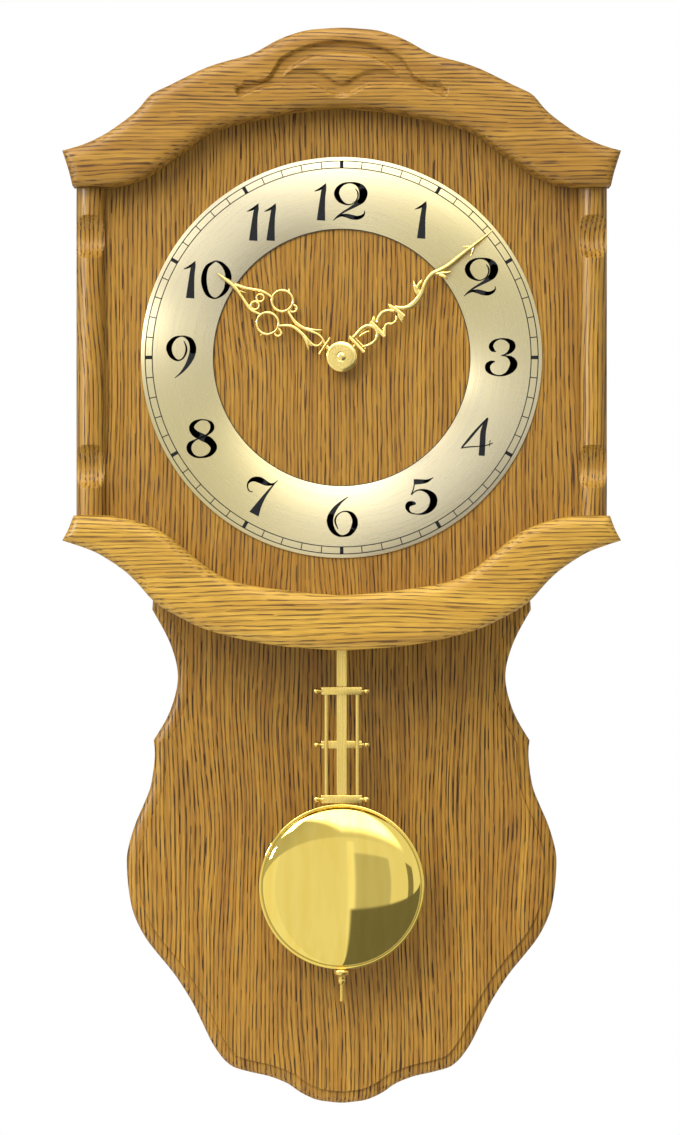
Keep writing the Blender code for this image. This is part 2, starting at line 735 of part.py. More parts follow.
def build_train(dial):
    places, phases = wheel_places()
    fronts = levels()
    extra = (pinion_thickness - wheel_thickness) / 2
    pivot_front = inside_front + running_gap
    pivot_rear = bridge_front - running_gap

    def wheel(name):
        return fronts[name], fronts[name] + wheel_thickness

    def pinion(name):
        return fronts[name] - extra, fronts[name] + wheel_thickness + extra

    hand_end = hand_fronts()["minute"] - hand_thickness - gap - 0.6 * mm
    # The centre wheel, its arbor and the cannon pinion are one piece, which carries the minute hand.
    cannon = gear_outline(cannon_teeth, motion_module, 0)
    centre = gear_outline(centre_teeth, third_module, 0)
    sections = [
        arbor(minute_arbor_radius, hand_end, pinion("motion")[0], 16),
        (cannon, *pinion("motion")),
        arbor(minute_arbor_radius, pinion("motion")[1], wheel("centre")[0]),
        (centre, *wheel("centre")),
        arbor(minute_arbor_radius, wheel("centre")[1], wheel("centre")[1] + 1 * mm),
        arbor(pivot_radius, wheel("centre")[1] + 1 * mm, pivot_rear),
    ]
    make_object("centre_wheel", layered(sections), brass_satin, dial)

    pipe_end = hand_fronts()["hour"] - 1.2 * mm
    hour = gear_outline(hour_teeth, hour_module, phases["hour"])
    bore = circle(0, 0, hour_pipe_bore, 16)
    sections = [arbor(hour_pipe_radius, pipe_end, fronts["hour"], 20), (hour, *wheel("hour"))]
    make_object("hour_wheel", layered(sections, [bore]), white_plastic, dial)

    motion_axis = make_empty("motion_axis", dial, places["motion"][0], 0, places["motion"][1])
    sections = [
        arbor(pivot_radius, pivot_front, pinion("hour")[0]),
        (gear_outline(motion_pinion_teeth, hour_module, 0), *pinion("hour")),
        arbor(motion_arbor_radius, pinion("hour")[1], wheel("motion")[0]),
        (gear_outline(motion_teeth, motion_module, phases["motion"]), *wheel("motion")),
        arbor(0.7 * mm, wheel("motion")[1], bridge_front - 1 * mm),
        arbor(motion_arbor_radius, bridge_front - 1 * mm, movement_rear + 2.5 * mm),
    ]
    make_object("motion_wheel", layered(sections), white_plastic, motion_axis)
    knob_front = movement_rear + knob_gap
    ridges = []
    for i in range(20):
        middle = 18 * i
        ridges += [polar(knob_radius, middle - 4), polar(knob_radius, middle + 4), polar(knob_radius - knob_groove, middle + 9)]
    stub = circle(0, 0, motion_arbor_radius + gap, 12)
    sections = [(circle(0, 0, knob_hub_radius, 16), knob_front, knob_front + knob_hub_height)]
    sections += [(ridges, knob_front + knob_hub_height, knob_front + knob_height)]
    make_object("setting_knob", layered(sections, [stub]), black_plastic, motion_axis)

    chain = (
        ("third", third_pinion_teeth, third_module, "centre", third_teeth, second_module),
        ("second", second_pinion_teeth, second_module, "third", second_teeth, step_module),
        ("step", step_pinion_teeth, step_module, "second", step_teeth, rotor_module),
    )
    for name, pinion_teeth, pinion_module, driven, teeth, module in chain:
        x, z = places[name]
        axis = make_empty(name + "_axis", dial, x, 0, z)
        core = pivot_radius
        sections = [
            arbor(core, pivot_front, pinion(driven)[0]),
            (gear_outline(pinion_teeth, pinion_module, phases[name + "_pinion"]), *pinion(driven)),
            arbor(core, pinion(driven)[1], wheel(name)[0]),
            (gear_outline(teeth, module, 0), *wheel(name)),
            arbor(core, wheel(name)[1], pivot_rear),
        ]
        make_object(name + "_wheel", layered(sections), white_plastic, axis)

    x, z = places["rotor"]
    rotor_axis = make_empty("rotor_axis", dial, x, 0, z)
    sections = [
        arbor(pivot_radius, pivot_front, pinion("step")[0]),
        (gear_outline(rotor_teeth, rotor_module, phases["rotor"]), *pinion("step")),
        arbor(pivot_radius, pinion("step")[1], cover_front - 1.2 * mm),
    ]
    make_object("rotor_pinion", layered(sections), white_plastic, rotor_axis)
    magnet = [(circle(0, 0, rotor_magnet_radius, 20), bridge_rear + 2 * mm, bridge_rear + 6 * mm)]
    make_object("rotor_magnet", layered(magnet, [circle(0, 0, pivot_radius + gap, 12)]), magnet_grey, rotor_axis)
    return places


def build_movement(dial, places):
    half = movement_half_width
    wall = movement_wall
    housing = make_object(
        "movement_housing", box((-half, half), (movement_front, cover_front - gap), (movement_bottom, movement_top)),
        black_plastic, dial,
    )
    inner = box(
        (wall - half, bay_left - bay_wall), (inside_front, movement_rear),
        (movement_bottom + wall, movement_top - wall),
    )
    cut(housing, make_cutter("wheel_space_cutter", inner, dial))
    bay_floor = cover_front - gap - bay_depth
    bay_low = movement_top - wall - battery_length - battery_nub_length - 4 * gap - 2 * contact_thickness - 2 * battery_play
    bay = box((bay_left, half - wall), (bay_floor, movement_rear), (bay_low, movement_top - wall))
    cut(housing, make_cutter("battery_bay_cutter", bay, dial))
    bush_hole = layered([(circle(0, 0, bush_radius + gap, 24), movement_front - 3 * mm, inside_front + 3 * mm)])
    cut(housing, make_cutter("bush_hole_cutter", bush_hole, dial))
    leaf_slot = box(
        (-leaf_slot_half, leaf_slot_half), (pendulum_plane - 4 * mm, movement_rear),
        (movement_bottom - 5 * mm, movement_bottom + wall + 3 * mm),
    )
    cut(housing, make_cutter("leaf_slot_cutter", leaf_slot, dial))

    motion = places["motion"]
    cover_outline = [
        (-half, movement_bottom), (bay_left - gap, movement_bottom), (bay_left - gap, movement_top),
        (-half, movement_top),
    ]
    pin_hole = circle(0, pivot_height, swing_pin_radius + running_gap, 12)
    knob_hole = circle(*motion, motion_arbor_radius + running_gap + gap, 16)
    cover = layered([(cover_outline, cover_front, movement_rear)], [knob_hole, pin_hole])
    make_object("movement_cover", cover, black_plastic, dial)

    left, right = wall - half + gap, bay_left - bay_wall - gap
    low, high = bridge_bottom, movement_top - wall - gap
    holes = [circle(*places[name], pivot_radius + running_gap, 12) for name in ("rotor",)]
    holes += [circle(*motion, motion_arbor_radius + running_gap, 12), pin_hole]
    bridge = [([(left, low), (right, low), (right, high), (left, high)], bridge_front, bridge_rear)]
    make_object("train_bridge", layered(bridge, holes), white_plastic, dial)

    flange = movement_front - gap
    tube_front = panel_front - bush_reach
    profile = [
        (bush_bore_radius, tube_front), (bush_radius, tube_front), (bush_radius, flange - bush_flange_thickness),
        (bush_flange_radius, flange - bush_flange_thickness), (bush_flange_radius, flange), (bush_radius, flange),
        (bush_radius, inside_front - 0.2 * mm), (bush_bore_radius, inside_front - 0.2 * mm),
    ]
    make_object("centre_bush", turned(profile, 24), brass, dial)
    gasket = (movement_front - gap - gasket_thickness, movement_front - gap)
    ring = layered([(circle(0, 0, gasket_radius, 32), *gasket)], [circle(0, 0, bush_flange_radius + gap, 24)])
    make_object("rubber_gasket", ring, black_rubber, dial)
    washer = (panel_front - gap - washer_thickness, panel_front - gap)
    hole = circle(0, 0, bush_radius + gap, 24)
    make_object("nut_washer", layered([(circle(0, 0, washer_radius, 28), *washer)], [hole]), brass, dial)
    corner = nut_across_flats / math.sqrt(3)
    nut = (washer[0] - gap - nut_thickness, washer[0] - gap)
    make_object("bush_nut", layered([(circle(0, 0, corner, 6), *nut)], [hole]), brass, dial)

    build_motor(dial, places["rotor"])
    build_battery(dial, bay_low)


def build_motor(dial, rotor):
    """The step motor's stator and coil, and the circuit board, all behind the train bridge."""
    x, z = rotor
    rear = bridge_rear + stator_offset
    plate = (rear - stator_thickness, rear)
    half, low, core_low = stator_half, stator_low, stator_core_low
    high = z + 1.5 * stator_limb
    sill, head = stator_window_low, z - 5 * mm
    limb = half - stator_limb
    outer = [(-half, low), (half, low), (half, high), (-half, high)]
    window = [(-limb, sill), (limb, sill), (limb, head), (-limb, head)]
    # Under the coil the stator is a narrow core.
    notch = [(-limb, low), (-limb, core_low), (limb, core_low), (limb, low)]
    outline = [outer[0]] + notch + outer[1:]
    stator = layered([(outline, *plate)], [window, circle(x, z, stator_bore, 20)])
    make_object("stator", stator, steel, dial)
    core, length, winding = motor_coil_bore, motor_coil_half, motor_coil_radius
    coil = turned([(core, -length), (core, length), (winding, length), (winding, -length)], 20, "X")
    make_object("motor_coil", coil, copper, dial, y=(plate[0] + plate[1]) / 2, z=(sill + core_low) / 2)
    depth = (cover_front - circuit_gap - circuit_thickness, cover_front - circuit_gap)
    board = box((-circuit_half, circuit_half), depth, (circuit_low, circuit_high))
    make_object("circuit_board", board, green_board, dial)


def build_battery(dial, bay_low):
    x = (bay_left + movement_half_width - movement_wall) / 2
    y = cover_front - gap - bay_depth / 2
    base = bay_low + gap + contact_thickness + gap + battery_play
    profile = [(0, 0), (battery_radius, 0), (battery_radius, battery_length), (battery_nub_radius, battery_length)]
    profile += [(battery_nub_radius, battery_length + battery_nub_length), (0, battery_length + battery_nub_length)]
    axis = make_empty("battery_axis", dial, x, y, base)
    make_object("battery", turned(profile, 24, "Z"), battery_wrap, axis)
    high = movement_top - movement_wall - gap
    span = (x - contact_width / 2, x + contact_width / 2)
    depth = (y - contact_half_depth, y + contact_half_depth)
    make_object("contact_positive", box(span, depth, (high - contact_thickness, high)), steel, dial)
    low = bay_low + gap
    make_object("contact_negative", box(span, depth, (low, low + contact_thickness)), steel, dial)


# ---- hands ----


def hand_fronts():
    """The rear face of each hand."""
    hour = panel_front - bush_reach - hour_hand_offset
    return {"hour": hour, "minute": hour - hand_thickness - minute_hand_offset}


def laid(points, clock_angle):
    """Points given as (along the hand, across it), laid in X and Z for a hand at the angle clockwise from twelve."""
    a = math.radians(clock_angle)
    return [(s * math.sin(a) + t * math.cos(a), s * math.cos(a) - t * math.sin(a)) for s, t in points]


def both_sides(half):
    return half + [(s, -t) for s, t in reversed(half) if t > 1e-7]


def build_hour_hand(dial):
    rear = hand_fronts()["hour"]
    hub = hour_hub_radius
    half = arc(0, 0, hub, 180, 20, 8)
    half += [(x * mm, z * mm) for x, z in ((10.5, 1.3), (11, 3.6), (12.8, 3.6), (13.4, 1.5), (20, 1.7), (26, 4.8), (31, 5.2), (36, 6.4))]
    half += arc(loop_at, loop_off, loop_radius, 210, 20, 10)
    half += [(x * mm, z * mm) for x, z in ((61, 5.4), (68, 3.2), (76, 1.6), (81, 1.5))]
    half += [(hour_hand_length, 0)]
    holes = [circle(0, 0, hour_pipe_radius + running_gap, 16)]
    holes += [circle(loop_at, side * loop_off, loop_radius - loop_wire, 16) for side in (-1, 1)]
    holes += [[(x * mm, z * mm) for x, z in ((57, 0), (60.5, 2.6), (68, 1.2), (74, 0), (68, -1.2), (60.5, -2.6))]]
    holes += [[(x * mm, z * mm) for x, z in ((22, 0), (28, 2.6), (36, 3.4), (40, 0), (36, -3.4), (28, -2.6))]]
    front = rear - hand_thickness
    loops = [laid(hole, hour_at_rest) for hole in holes]
    plate = layered([(laid(both_sides(half), hour_at_rest), front, rear)], loops)
    make_object("hour_hand", plate, brass, dial)


def build_minute_hand(dial):
    rear = hand_fronts()["minute"]
    hub = minute_hub_radius
    half = arc(0, 0, hub, 180, 20, 8)
    half += [(x * mm, z * mm) for x, z in ((10, 1.2), (10.6, 3), (12, 3), (12.6, 1.3))]
    for start in (13, 27):
        half += arc((start + 6) * mm, 1 * mm, 4.2 * mm, 150, 30, 6)
        half += [((start + 12) * mm, 1.3 * mm), ((start + 12.4) * mm, 2.8 * mm), ((start + 13.4) * mm, 2.8 * mm)]
    wave = curve_through([(x * mm, z * mm) for x, z in ((42, 1.3), (54, 3.4), (62, 1.2), (74, 3.2), (86, 1.1), (104, 0.9))], 3)
    half += wave + [(minute_hand_length, 0)]
    front = rear - hand_thickness
    hole = circle(0, 0, minute_arbor_radius + running_gap, 16)
    plate = layered([(laid(both_sides(half), minute_at_rest), front, rear)], [hole])
    make_object("minute_hand", plate, brass, dial)
    seat = front - gap
    profile = [
        (0, seat - cap_thickness - 1.4 * mm), (1.6 * mm, seat - cap_thickness - 1.2 * mm),
        (2.1 * mm, seat - cap_thickness - 0.2 * mm), (cap_radius - 2 * mm, seat - cap_thickness + 0.4 * mm),
        (cap_radius, seat - 0.8 * mm), (cap_radius, seat), (minute_arbor_radius + running_gap, seat),
        (minute_arbor_radius + running_gap, seat - 1 * mm), (0, seat - 1 * mm),
    ]
    make_object("hand_nut", turned(profile, 24), brass, dial)


# ---- pendulum ----


def build_pendulum(dial):
    axis = make_empty("pendulum_axis", dial, 0, pendulum_plane, pivot_height)

    def z_of(height):
        return height - pivot_height

    pin = [(circle(0, 0, swing_pin_radius, 12), bridge_front + 0.1 * mm, movement_rear)]
    make_object("swing_pin", layered(pin), steel, dial, z=pivot_height)

    leaf = (-leaf_thickness / 2, leaf_thickness / 2)
    half = leaf_width / 2
    eye = z_of(strip_top) - hook_drop
    leaf_outline = arc(0, 0, half, 180, 0, 8) + arc(0, -leaf_length, half, 0, -180, 8)
    eyes = [circle(0, 0, swing_pin_radius + running_gap, 12), circle(0, eye, hook_eye_radius, 12)]
    make_object("swing_leaf", layered([(leaf_outline, *leaf)], eyes), brass_satin, axis)
    magnet = [(circle(0, 0, magnet_radius, 20), leaf[0] - gap - magnet_thickness, leaf[0] - gap)]
    make_object("drive_magnet", layered(magnet), magnet_grey, axis, z=-magnet_drop)
    coil_rear = pendulum_plane + leaf[0] - gap - magnet_thickness - drive_gap
    coil = [(circle(0, 0, drive_coil_radius, 24), coil_rear - drive_coil_thickness, coil_rear)]
    coil_bore = [circle(0, 0, drive_coil_bore, 16)]
    make_object("drive_coil", layered(coil, coil_bore), copper, dial, z=pivot_height - magnet_drop)

    strip = (leaf[1] + gap, leaf[1] + gap + strip_thickness)
    top, bottom = z_of(strip_top), z_of(last_bar - bar_height / 2)
    strip_object = make_object(
        "pendulum_strip", box((-strip_width / 2, strip_width / 2), strip, (bottom, top)), brass_satin, axis,
    )
    pin = layered([(circle(0, 0, hook_peg_radius, 12), leaf[0] - 1 * mm, strip[0] + strip_thickness / 2)])
    peg = make_cutter("hook_peg", pin, axis, z=eye)
    join(strip_object, peg)

    rod_y = strip[0] - 0.2 * mm - side_rod_radius
    for number in (1, 2, 3):
        height = moulding_bottom - first_bar_drop - (number - 1) * bar_spacing
        if number != 2:  # the middle bar lies behind the strip
            depth = (rod_y - side_rod_radius - gap - bar_thickness, rod_y - side_rod_radius - gap)
        else:
            depth = (strip[1] + gap, strip[1] + gap + bar_thickness)
        build_crossbar(f"crossbar_{number}", axis, depth, z_of(height))
    high = z_of(moulding_bottom - first_bar_drop) + bar_height / 2
    low = z_of(last_bar) - bar_height / 2
    for side, name in ((-1, "side_rod_left"), (1, "side_rod_right")):
        rod = turned([(0, low), (side_rod_radius, low), (side_rod_radius, high), (0, high)], 12, "Z")
        make_object(name, rod, brass_satin, axis, x=side * side_rod_spacing / 2, y=rod_y)

    build_bob(axis, strip, z_of)


def build_crossbar(name, axis, depth, height):
    """A flat bar whose ends carry small turned finials."""
    middle = (depth[0] + depth[1]) / 2
    half = bar_width / 2
    bar = make_object(
        name, box((-half, half), depth, (height - bar_height / 2, height + bar_height / 2)), brass_satin, axis,
    )
    ball = finial_reach - finial_radius
    profile = [(0, -finial_reach), (0.8 * finial_radius, -ball - 0.6 * finial_radius), (finial_radius, -ball)]
    profile += [(finial_neck * finial_radius, finial_radius - ball)]
    profile += [(finial_neck * finial_radius, 1 * mm - half)]
    profile += [(r, -y) for r, y in reversed(profile)]
    finials = make_cutter(name + "_finials", turned(profile, 8, "X"), axis, y=middle, z=height)
    join(bar, finials)


def build_bob(axis, strip, z_of):
    middle = z_of(bob_height)
    rod_y = (strip[0] + strip[1]) / 2
    low = z_of(nut_top - nut_height - rod_past_nut)
    top = z_of(last_bar - bar_height / 2) - gap
    rod = turned([(0, low), (threaded_rod_radius, low), (threaded_rod_radius, top), (0, top)], 16, "Z")
    make_object("threaded_rod", rod, brass_satin, axis, y=rod_y)

    bob_axis = make_empty("bob_axis", axis, 0, rod_y, middle)
    rim = -threaded_rod_radius - gap
    outer = [(0, rim - bob_rim - bob_dome)]
    steps = 6
    for i in range(1, steps + 1):
        a = 0.5 * math.pi * i / steps
        outer.append(((bob_radius - 1.5 * mm) * math.sin(a), rim - bob_rim - bob_dome * math.cos(a)))
    outer += [(bob_radius, rim - bob_rim), (bob_radius, rim)]
    inner = [(bob_radius - 2 * mm, rim), (bob_radius - 3 * mm, rim - bob_rim + bob_sheet)]
    for i in range(steps - 1, -1, -1):
        a = 0.5 * math.pi * i / steps
        inner.append(((bob_radius - 3 * mm) * math.sin(a), rim - bob_rim + bob_sheet - bob_dome * math.cos(a)))
    make_object("bob_front", turned(outer + inner, 40), brass, bob_axis)

    rear = threaded_rod_radius + gap
    dish = [
        (0, rear), (bob_radius - 3.5 * mm, rear), (bob_radius - 2 * mm, rim + gap), (bob_radius - 0.6 * mm, rim + gap),
        (bob_radius - 2 * mm, rear + bob_sheet), (0, rear + bob_sheet),
    ]
    back = make_object("bob_back", turned(dish, 40), brass_satin, bob_axis)
    past, wide = bob_radius + clear, threaded_rod_radius + gap
    channel = turned([(0, -past), (wide, -past), (wide, past), (0, past)], 16, "Z")
    cut(back, make_cutter("rod_channel_cutter", channel, bob_axis))

    bore = threaded_rod_radius + running_gap
    nut = [
        (bore, 0), (nut_flange_radius, 0), (nut_flange_radius, -nut_flange_height),
        (nut_end_radius, -nut_height), (bore, -nut_height),
    ]
    nut_axis = make_empty("nut_axis", bob_axis, 0, 0, nut_top - bob_height)
    make_object("rating_nut", turned(nut, 24, "Z"), brass, nut_axis)


# ---- the clock ----

for old in list(bpy.data.objects):
    bpy.data.objects.remove(old, do_unlink=True)

hang_point = make_empty("hang_point")
dial_axis = make_empty("dial_axis", hang_point, z=-hang_drop)
back_board = build_case(dial_axis)
build_hanger(hang_point, dial_axis, back_board)
build_crown(dial_axis)
build_moulding(dial_axis)
build_pilasters(dial_axis)
build_ring(dial_axis)
wheel_centres = build_train(dial_axis)
build_movement(dial_axis, wheel_centres)
build_hour_hand(dial_axis)
build_minute_hand(dial_axis)
build_pendulum(dial_axis)
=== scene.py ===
import math
import bmesh
import bpy
import numpy as np
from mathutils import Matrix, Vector
from mathutils.geometry import delaunay_2d_cdt


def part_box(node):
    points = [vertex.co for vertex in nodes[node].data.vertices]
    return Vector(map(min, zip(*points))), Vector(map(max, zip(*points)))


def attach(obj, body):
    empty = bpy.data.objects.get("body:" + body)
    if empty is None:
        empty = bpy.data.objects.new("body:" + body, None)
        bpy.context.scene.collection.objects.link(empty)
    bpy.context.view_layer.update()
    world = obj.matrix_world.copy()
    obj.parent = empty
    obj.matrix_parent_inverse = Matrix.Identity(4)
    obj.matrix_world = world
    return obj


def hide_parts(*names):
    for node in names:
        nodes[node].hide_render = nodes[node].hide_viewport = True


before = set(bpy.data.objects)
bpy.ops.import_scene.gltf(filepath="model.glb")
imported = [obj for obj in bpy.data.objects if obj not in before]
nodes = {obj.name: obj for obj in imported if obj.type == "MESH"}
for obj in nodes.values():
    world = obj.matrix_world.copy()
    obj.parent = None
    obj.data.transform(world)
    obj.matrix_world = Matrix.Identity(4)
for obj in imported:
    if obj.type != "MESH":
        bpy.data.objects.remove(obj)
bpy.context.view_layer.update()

# Wall clock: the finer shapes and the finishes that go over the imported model.
# Metres, +Z up, the clock faces -Y. Numbers multiplied by mm are millimetres.
mm = 0.001
dialHeight = -100 * mm  # the dial axis


def smooth(points, steps, closed=False):  # a curve through every point, with any extra values carried along
    pts = [tuple(p) for p in points]
    ends = [pts[-1]] + pts + pts[:2] if closed else [pts[0]] + pts + [pts[-1]]
    line = []
    for a, b, c, d in zip(ends, ends[1:], ends[2:], ends[3:]):
        for i in range(steps):
            t = i / steps
            line.append(tuple(
                0.5 * (2 * q + (r - p) * t + (2 * p - 5 * q + 4 * r - s) * t * t
                       + (3 * q - p - 3 * r + s) * t ** 3)
                for p, q, r, s in zip(a, b, c, d)))
    return line if closed else line + [pts[-1]]


def faceLoops(node, depth):  # outline and holes of a node's flat face at this depth, biggest first
    mesh = nodes[node].data
    spot = lambda i: tuple(round(c * 1e5) for c in mesh.vertices[i].co)
    count = {}
    for poly in mesh.polygons:
        corners = [spot(i) for i in poly.vertices]
        if all(abs(c[1] - depth * 1e5) < 3 for c in corners):
            for pair in zip(corners, corners[1:] + corners[:1]):
                key = tuple(sorted(pair))
                count[key] = count.get(key, 0) + 1
    after = {}
    for (p, q), n in count.items():
        if n == 1:
            after.setdefault(p, []).append(q)
            after.setdefault(q, []).append(p)
    loops = []
    while after:
        here = next(iter(after))
        loop = []
        while here in after:
            loop.append(here)
            ways = [p for p in after.pop(here) if p in after]
            here = ways[0] if ways else None
        if len(loop) > 2:
            loops.append([(x / 1e5, z / 1e5) for x, _, z in loop])
    return sorted(loops, key=lambda l: -max(p[0] for p in l) + min(p[0] for p in l))


def fineOutline(loop, step, corner=32):  # rounds the facets of a CAD outline but keeps its real corners
    n = len(loop)
    turns = []
    for i in range(n):
        a, b, c = loop[i - 1], loop[i], loop[(i + 1) % n]
        u, v = Vector((b[0] - a[0], b[1] - a[1])), Vector((c[0] - b[0], c[1] - b[1]))
        turns.append(math.degrees(u.angle(v)) if u.length and v.length else 0)
    corners = [i for i in range(n) if turns[i] > corner] or [0]
    line = []
    for i, j in zip(corners, corners[1:] + [corners[0] + n]):
        run = smooth([loop[k % n] for k in range(i, j + 1)], 6)
        length = sum(math.dist(p, q) for p, q in zip(run, run[1:]))
        parts = max(1, round(length / step))
        gone, k = 0.0, 0
        for m in range(parts):
            while k < len(run) - 2 and gone + math.dist(run[k], run[k + 1]) < m * length / parts:
                gone += math.dist(run[k], run[k + 1])
                k += 1
            left = math.dist(run[k], run[k + 1])
            t = (m * length / parts - gone) / left if left else 0
            line.append(tuple(p + (q - p) * t for p, q in zip(run[k], run[k + 1])))
    return line


def inside(points, loop):  # how far each point is inside the loop, negative outside
    a = np.array(loop)
    b = np.roll(a, -1, axis=0)
    found = []
    for part in np.array_split(np.asarray(points), max(1, len(points) // 1500)):
        p = part[:, None, :]
        ab = (b - a)[None]
        t = np.clip(((p - a[None]) * ab).sum(2) / np.maximum((ab ** 2).sum(2), 1e-18), 0, 1)
        away = np.sqrt(((a[None] + t[..., None] * ab - p) ** 2).sum(2)).min(1)
        z0, z1 = a[None, :, 1], b[None, :, 1]
        rise = np.where(z1 == z0, 1e-18, z1 - z0)
        crossed = ((z0 > p[..., 1]) != (z1 > p[..., 1])) & (p[..., 0] < a[None, :,
            0] + (p[..., 1] - z0) / rise * ab[..., 0])
        found.append(np.where(crossed.sum(1) % 2 == 1, away, -away))
    return np.concatenate(found)


def ramp(value, low, high):
    t = np.clip((value - low) / (high - low), 0, 1)
    return t * t * (3 - 2 * t)


def insetRow(loop, distance):  # the outline moved in, without the points that fold over at a hollow corner
    a = np.array(loop)
    ahead, behind = np.roll(a, -1, axis=0), np.roll(a, 1, axis=0)
    along = ahead - behind
    along /= np.maximum(np.linalg.norm(along, axis=1, keepdims=True), 1e-12)
    turn = np.sign((a[:, 0] * ahead[:, 1] - ahead[:, 0] * a[:, 1]).sum())
    moved = a + np.stack([-along[:, 1], along[:, 0]], axis=1) * distance * turn
    return moved[inside(moved, loop) > distance * 0.96]


def triangleField(low, high, step):
    xs = np.arange(low[0], high[0], step)
    zs = np.arange(low[1], high[1], step * 0.866)
    return np.array([(x + (step / 2 if k % 2 else 0), z) for k, z in enumerate(zs) for x in xs])


def relief(outline, rows, step, front, rear, sunk, holes=(), finer=None):
    # a board cut to the outline: its front face is sunk by sunk(points, distance from the edge)
    edge = np.array(outline)
    points = [edge] + [np.array(h) for h in holes]
    for distance in rows:
        points.append(insetRow(outline, distance))
    field = triangleField(edge.min(0), edge.max(0), step)
    field = field[inside(field, outline) > rows[-1] + 0.5 * step]
    if finer:
        area, fineStep = finer
        area = np.array(area)
        field = field[inside(field, area) < 0.3 * step]
        small = triangleField(area.min(0), area.max(0), fineStep)
        small = small[(inside(small, area) > 0) & (inside(small, outline) > rows[-1] + 0.3 * fineStep)]
        points.append(small)
    for hole in holes:
        field = field[inside(field, hole) < -0.4 * step]
    points.append(field)
    links, start = [], 0
    for loop in points[:1 + len(holes)]:
        links += [(start + i, start + (i + 1) % len(loop)) for i in range(len(loop))]
        start += len(loop)
    flat = np.concatenate(points)
    made = delaunay_2d_cdt([Vector(p) for p in flat], links, [], 0, 1e-7)
    spots = np.array([tuple(v) for v in made[0]])
    faces = [tuple(f) for f in made[2]]
    middles = np.array([spots[list(f)].mean(0) for f in faces])
    keep = inside(middles, outline) > 0
    for hole in holes:
        keep &= inside(middles, hole) < 0
    depth = front + sunk(spots, np.maximum(inside(spots, outline), 0))
    shape = bmesh.new()
    verts = [shape.verts.new((x, y, z)) for (x, z), y in zip(spots, depth)]
    for face, kept in zip(faces, keep):
        if kept:
            shape.faces.new([verts[i] for i in face])
    bmesh.ops.delete(shape, geom=[v for v in shape.verts if not v.link_faces], context="VERTS")
    rim = [e for e in shape.edges if e.is_boundary]
    side = bmesh.ops.extrude_edge_only(shape, edges=rim)["geom"]
    for v in side:
        if isinstance(v, bmesh.types.BMVert):
            v.co.y = rear
    return shape, [e for e in side if isinstance(e, bmesh.types.BMEdge) and e.is_boundary]


# the rear face, with pits cut into it: (loop, [(depth, scale about its middle)])
def closeRear(shape, rim, rear, pits=()):
    edges = list(rim)
    walls = []
    for loop, steps in pits:
        ring = [shape.verts.new((x, rear, z)) for x, z in loop]
        edges += [shape.edges.new((ring[i - 1], ring[i])) for i in range(len(ring))]
        walls.append((ring, loop, steps))
    bmesh.ops.triangle_fill(shape, edges=edges, use_beauty=True)
    for ring, loop, steps in walls:
        cx, cz = np.mean(loop, axis=0)
        for depth, size in steps:
            after = [shape.verts.new((cx + (x - cx) * size, depth, cz + (z - cz) * size)) for x, z in loop]
            for i in range(len(ring)):
                shape.faces.new((ring[i - 1], ring[i], after[i], after[i - 1]))
            ring = after
        shape.faces.new(ring)


def circle(x, z, radius, count):
    return [(x + radius * math.cos(2 * math.pi * i / count), z + radius * math.sin(2 * math.pi * i / count))
            for i in range(count)]


# a turned body: (radius, place along the axis), closed round
def spun(shape, profile, count, centre, axis="Y"):
    rings = []
    for radius, along in profile:
        ring = []
        for i in range(count if radius > 1e-6 else 1):
            a = 2 * math.pi * i / count
            u, v = radius * math.cos(a), radius * math.sin(a)
            place = {"Y": (u, along, v), "X": (along, u, v), "Z": (u, v, along)}[axis]
            ring.append(shape.verts.new([c + p for c, p in zip(centre, place)]))
        rings.append(ring)
    for one, other in zip(rings, rings[1:] + rings[:1]):
        if len(one) == 1 and len(other) == 1:
            continue
        for i in range(count):
            ring = [one[i - 1 if len(one) > 1 else 0], one[i if len(one) > 1 else 0],
                    other[i if len(other) > 1 else 0], other[i - 1 if len(other) > 1 else 0]]
            ring = list(dict.fromkeys(ring))
            if len(ring) > 2:
                shape.faces.new(ring)


def bar(shape, low, high, ease):  # a bar with its edges eased
    made = bmesh.ops.create_cube(shape, size=1)["verts"]
    for v in made:
        v.co = [l + (c + 0.5) * (h - l) for c, l, h in zip(v.co, low, high)]
    edges = list({e for v in made for e in v.link_edges})
    bmesh.ops.bevel(shape, geom=edges, offset=ease, segments=3, profile=0.5, affect="EDGES")


def piece(name, shape, material, body, replaced=(), sharp=38):
    bmesh.ops.recalc_face_normals(shape, faces=shape.faces)
    mesh = bpy.data.meshes.new(name)
    shape.to_mesh(mesh)
    shape.free()
    mesh.shade_smooth()
    mesh.set_sharp_from_angle(angle=math.radians(sharp))
    mesh.materials.append(material)
    made = bpy.data.objects.new(name, mesh)
    bpy.context.scene.collection.objects.link(made)
    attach(made, body)
    if replaced:
        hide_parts(*replaced)
    return made


def linear(code):  # sRGB hex to the linear colour that Blender works in
    parts = [int(code[i:i + 2], 16) / 255 for i in (0, 2, 4)]
    return [c / 12.92 if c <= 0.04045 else ((c + 0.055) / 1.055) ** 2.4 for c in parts] + [1.0]


# one node: settings go on its properties or sockets, links feed sockets
def add(tree, kind, settings=None, links=None):
    node = tree.nodes.new(kind)
    for key, value in (settings or {}).items():
        if isinstance(key, str) and hasattr(node, key):
            setattr(node, key, value)
        else:
            node.inputs[key].default_value = value
    for key, source in (links or {}).items():
        tree.links.new(source, node.inputs[key])
    return node


def newMaterial(name, settings):
    material = bpy.data.materials.new(name)
    material.use_nodes = True
    tree = material.node_tree
    shader = tree.nodes["Principled BSDF"]
    for key, value in settings.items():
        shader.inputs[key].default_value = value
    material.diffuse_color = shader.inputs["Base Color"].default_value
    return material, tree, shader


